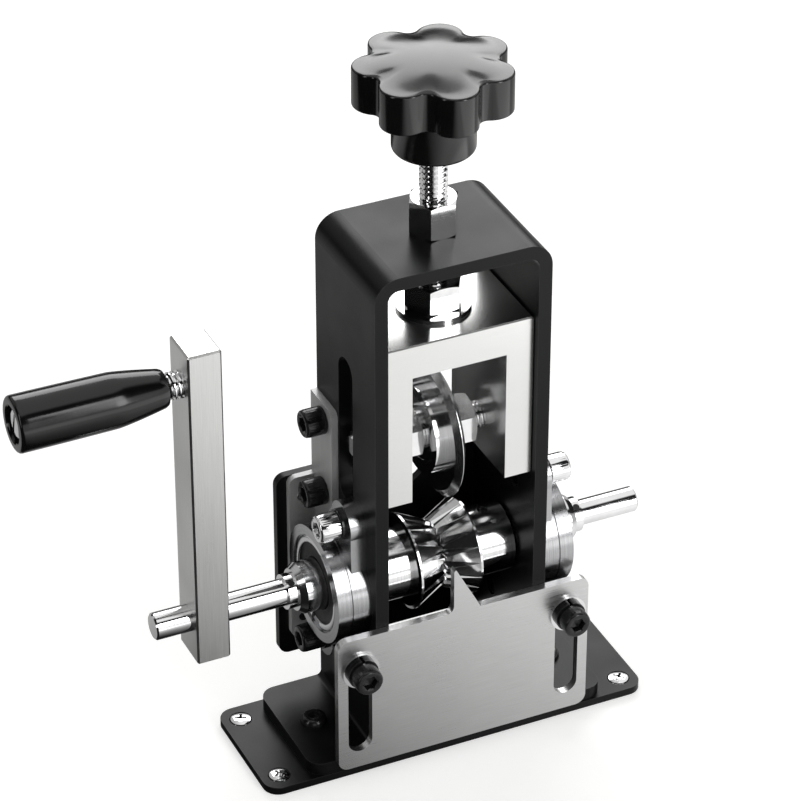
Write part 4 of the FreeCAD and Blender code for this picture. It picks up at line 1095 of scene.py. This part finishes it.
def painted_room_reflection(wires, direction):
    """Painted reflection of the room for polished pieces: white, with painted dark patches in front and
    low behind.
    """
    side = wires.along(direction, SIDE)
    front = wires.along(direction, FRONT)
    up = wires.along(direction, Z_AXIS)
    low = wires.ramp(side, ROOM_FRONT_LEFT, DARK, BRIGHT)
    before = wires.mix(wires.ramp(up, FRONT_DARK_PATCH_FOOT), low, DARK)
    before = wires.mix(wires.ramp(up, FRONT_DARK_PATCH_TOP), before, BRIGHT)
    behind = wires.ramp(side, ROOM_BACK_LEFT, GREY, BRIGHT)
    behind = wires.mix(wires.ramp(up, BACK_DARK_PATCH_TOP), DARK, behind)
    return wires.mix(wires.ramp(front, ROOM_MIDDLE), behind, before)


def make_world():
    """White surroundings for the camera, a painted reflection with dark patches for polished metal, softer
    light for the rest.
    """
    world = bpy.data.worlds.new("studio")
    bpy.context.scene.world = world
    world.use_nodes = True
    tree = world.node_tree
    wires = Wires(tree)
    background = tree.nodes["Background"]
    background.inputs["Color"].default_value = WHITE
    direction = tree.nodes.new("ShaderNodeTexCoord").outputs["Generated"]
    plain = wires.mix(wires.shown, ROOM_LIGHT, BRIGHT)
    # Painted reflection: glossy rays see a patterned room with dark patches, and other rays see a plain
    # one.
    strength = wires.mix(wires.mirror, plain, painted_room_reflection(wires, direction))
    wires.put(strength, background.inputs["Strength"])


LAMP_AIM = (0, 0, 0.12)
LAMPS = (
    # name, place, width and height, power in watts
    ("top_lamp", (0.53, 1.14, 0.98), (1.2, 0.75), 10.5),
    ("left_strip", (-1.3, -0.35, 0.7), (0.25, 1.2), 3),
    ("front_lamp", (0.5, -1.3, 0.75), (0.35, 1.0), 6),
)


def make_lamps():
    """A large soft lamp above and behind, a strip at the left and one at the right front."""
    for name, place, size, power in LAMPS:
        data = bpy.data.lights.new(name, "AREA")
        data.shape = "RECTANGLE"
        data.size, data.size_y = size
        data.energy = power
        lamp = bpy.data.objects.new(name, data)
        bpy.context.scene.collection.objects.link(lamp)
        lamp.location = place
        lamp.rotation_euler = (Vector(LAMP_AIM) - Vector(place)).to_track_quat("-Z", "Y").to_euler()
        lamp.visible_camera = False


CAMERA_PLACE = (-0.49149, -1.03827, 0.88616)
CAMERA_PITCH = 56.82     # degrees up from straight down
CAMERA_AZIMUTH = -24.77  # degrees
CAMERA_LENS = 174.86     # millimetres
CAMERA_SENSOR = 36.0


def make_camera():
    """The camera at the photograph's viewing angle."""
    data = bpy.data.cameras.new("camera")
    data.sensor_width = CAMERA_SENSOR
    data.lens = CAMERA_LENS
    camera = bpy.data.objects.new("camera", data)
    bpy.context.scene.collection.objects.link(camera)
    camera.location = CAMERA_PLACE
    camera.rotation_euler = (math.radians(CAMERA_PITCH), 0, math.radians(CAMERA_AZIMUTH))
    bpy.context.scene.camera = camera


# ---- Scene ---------------------------------------------------------------------------------------
make_camera()
make_world()
make_floor()
make_lamps()
dress_nodes()
make_knob()
make_spindle()
make_axle()
make_handle_bolt()
make_grip()
make_snap_rings()
make_seals()
make_cap_screws()
make_foot_screws()
make_rear_screws()
make_bench_screws()

bpy.context.scene.view_settings.view_transform = "Standard"
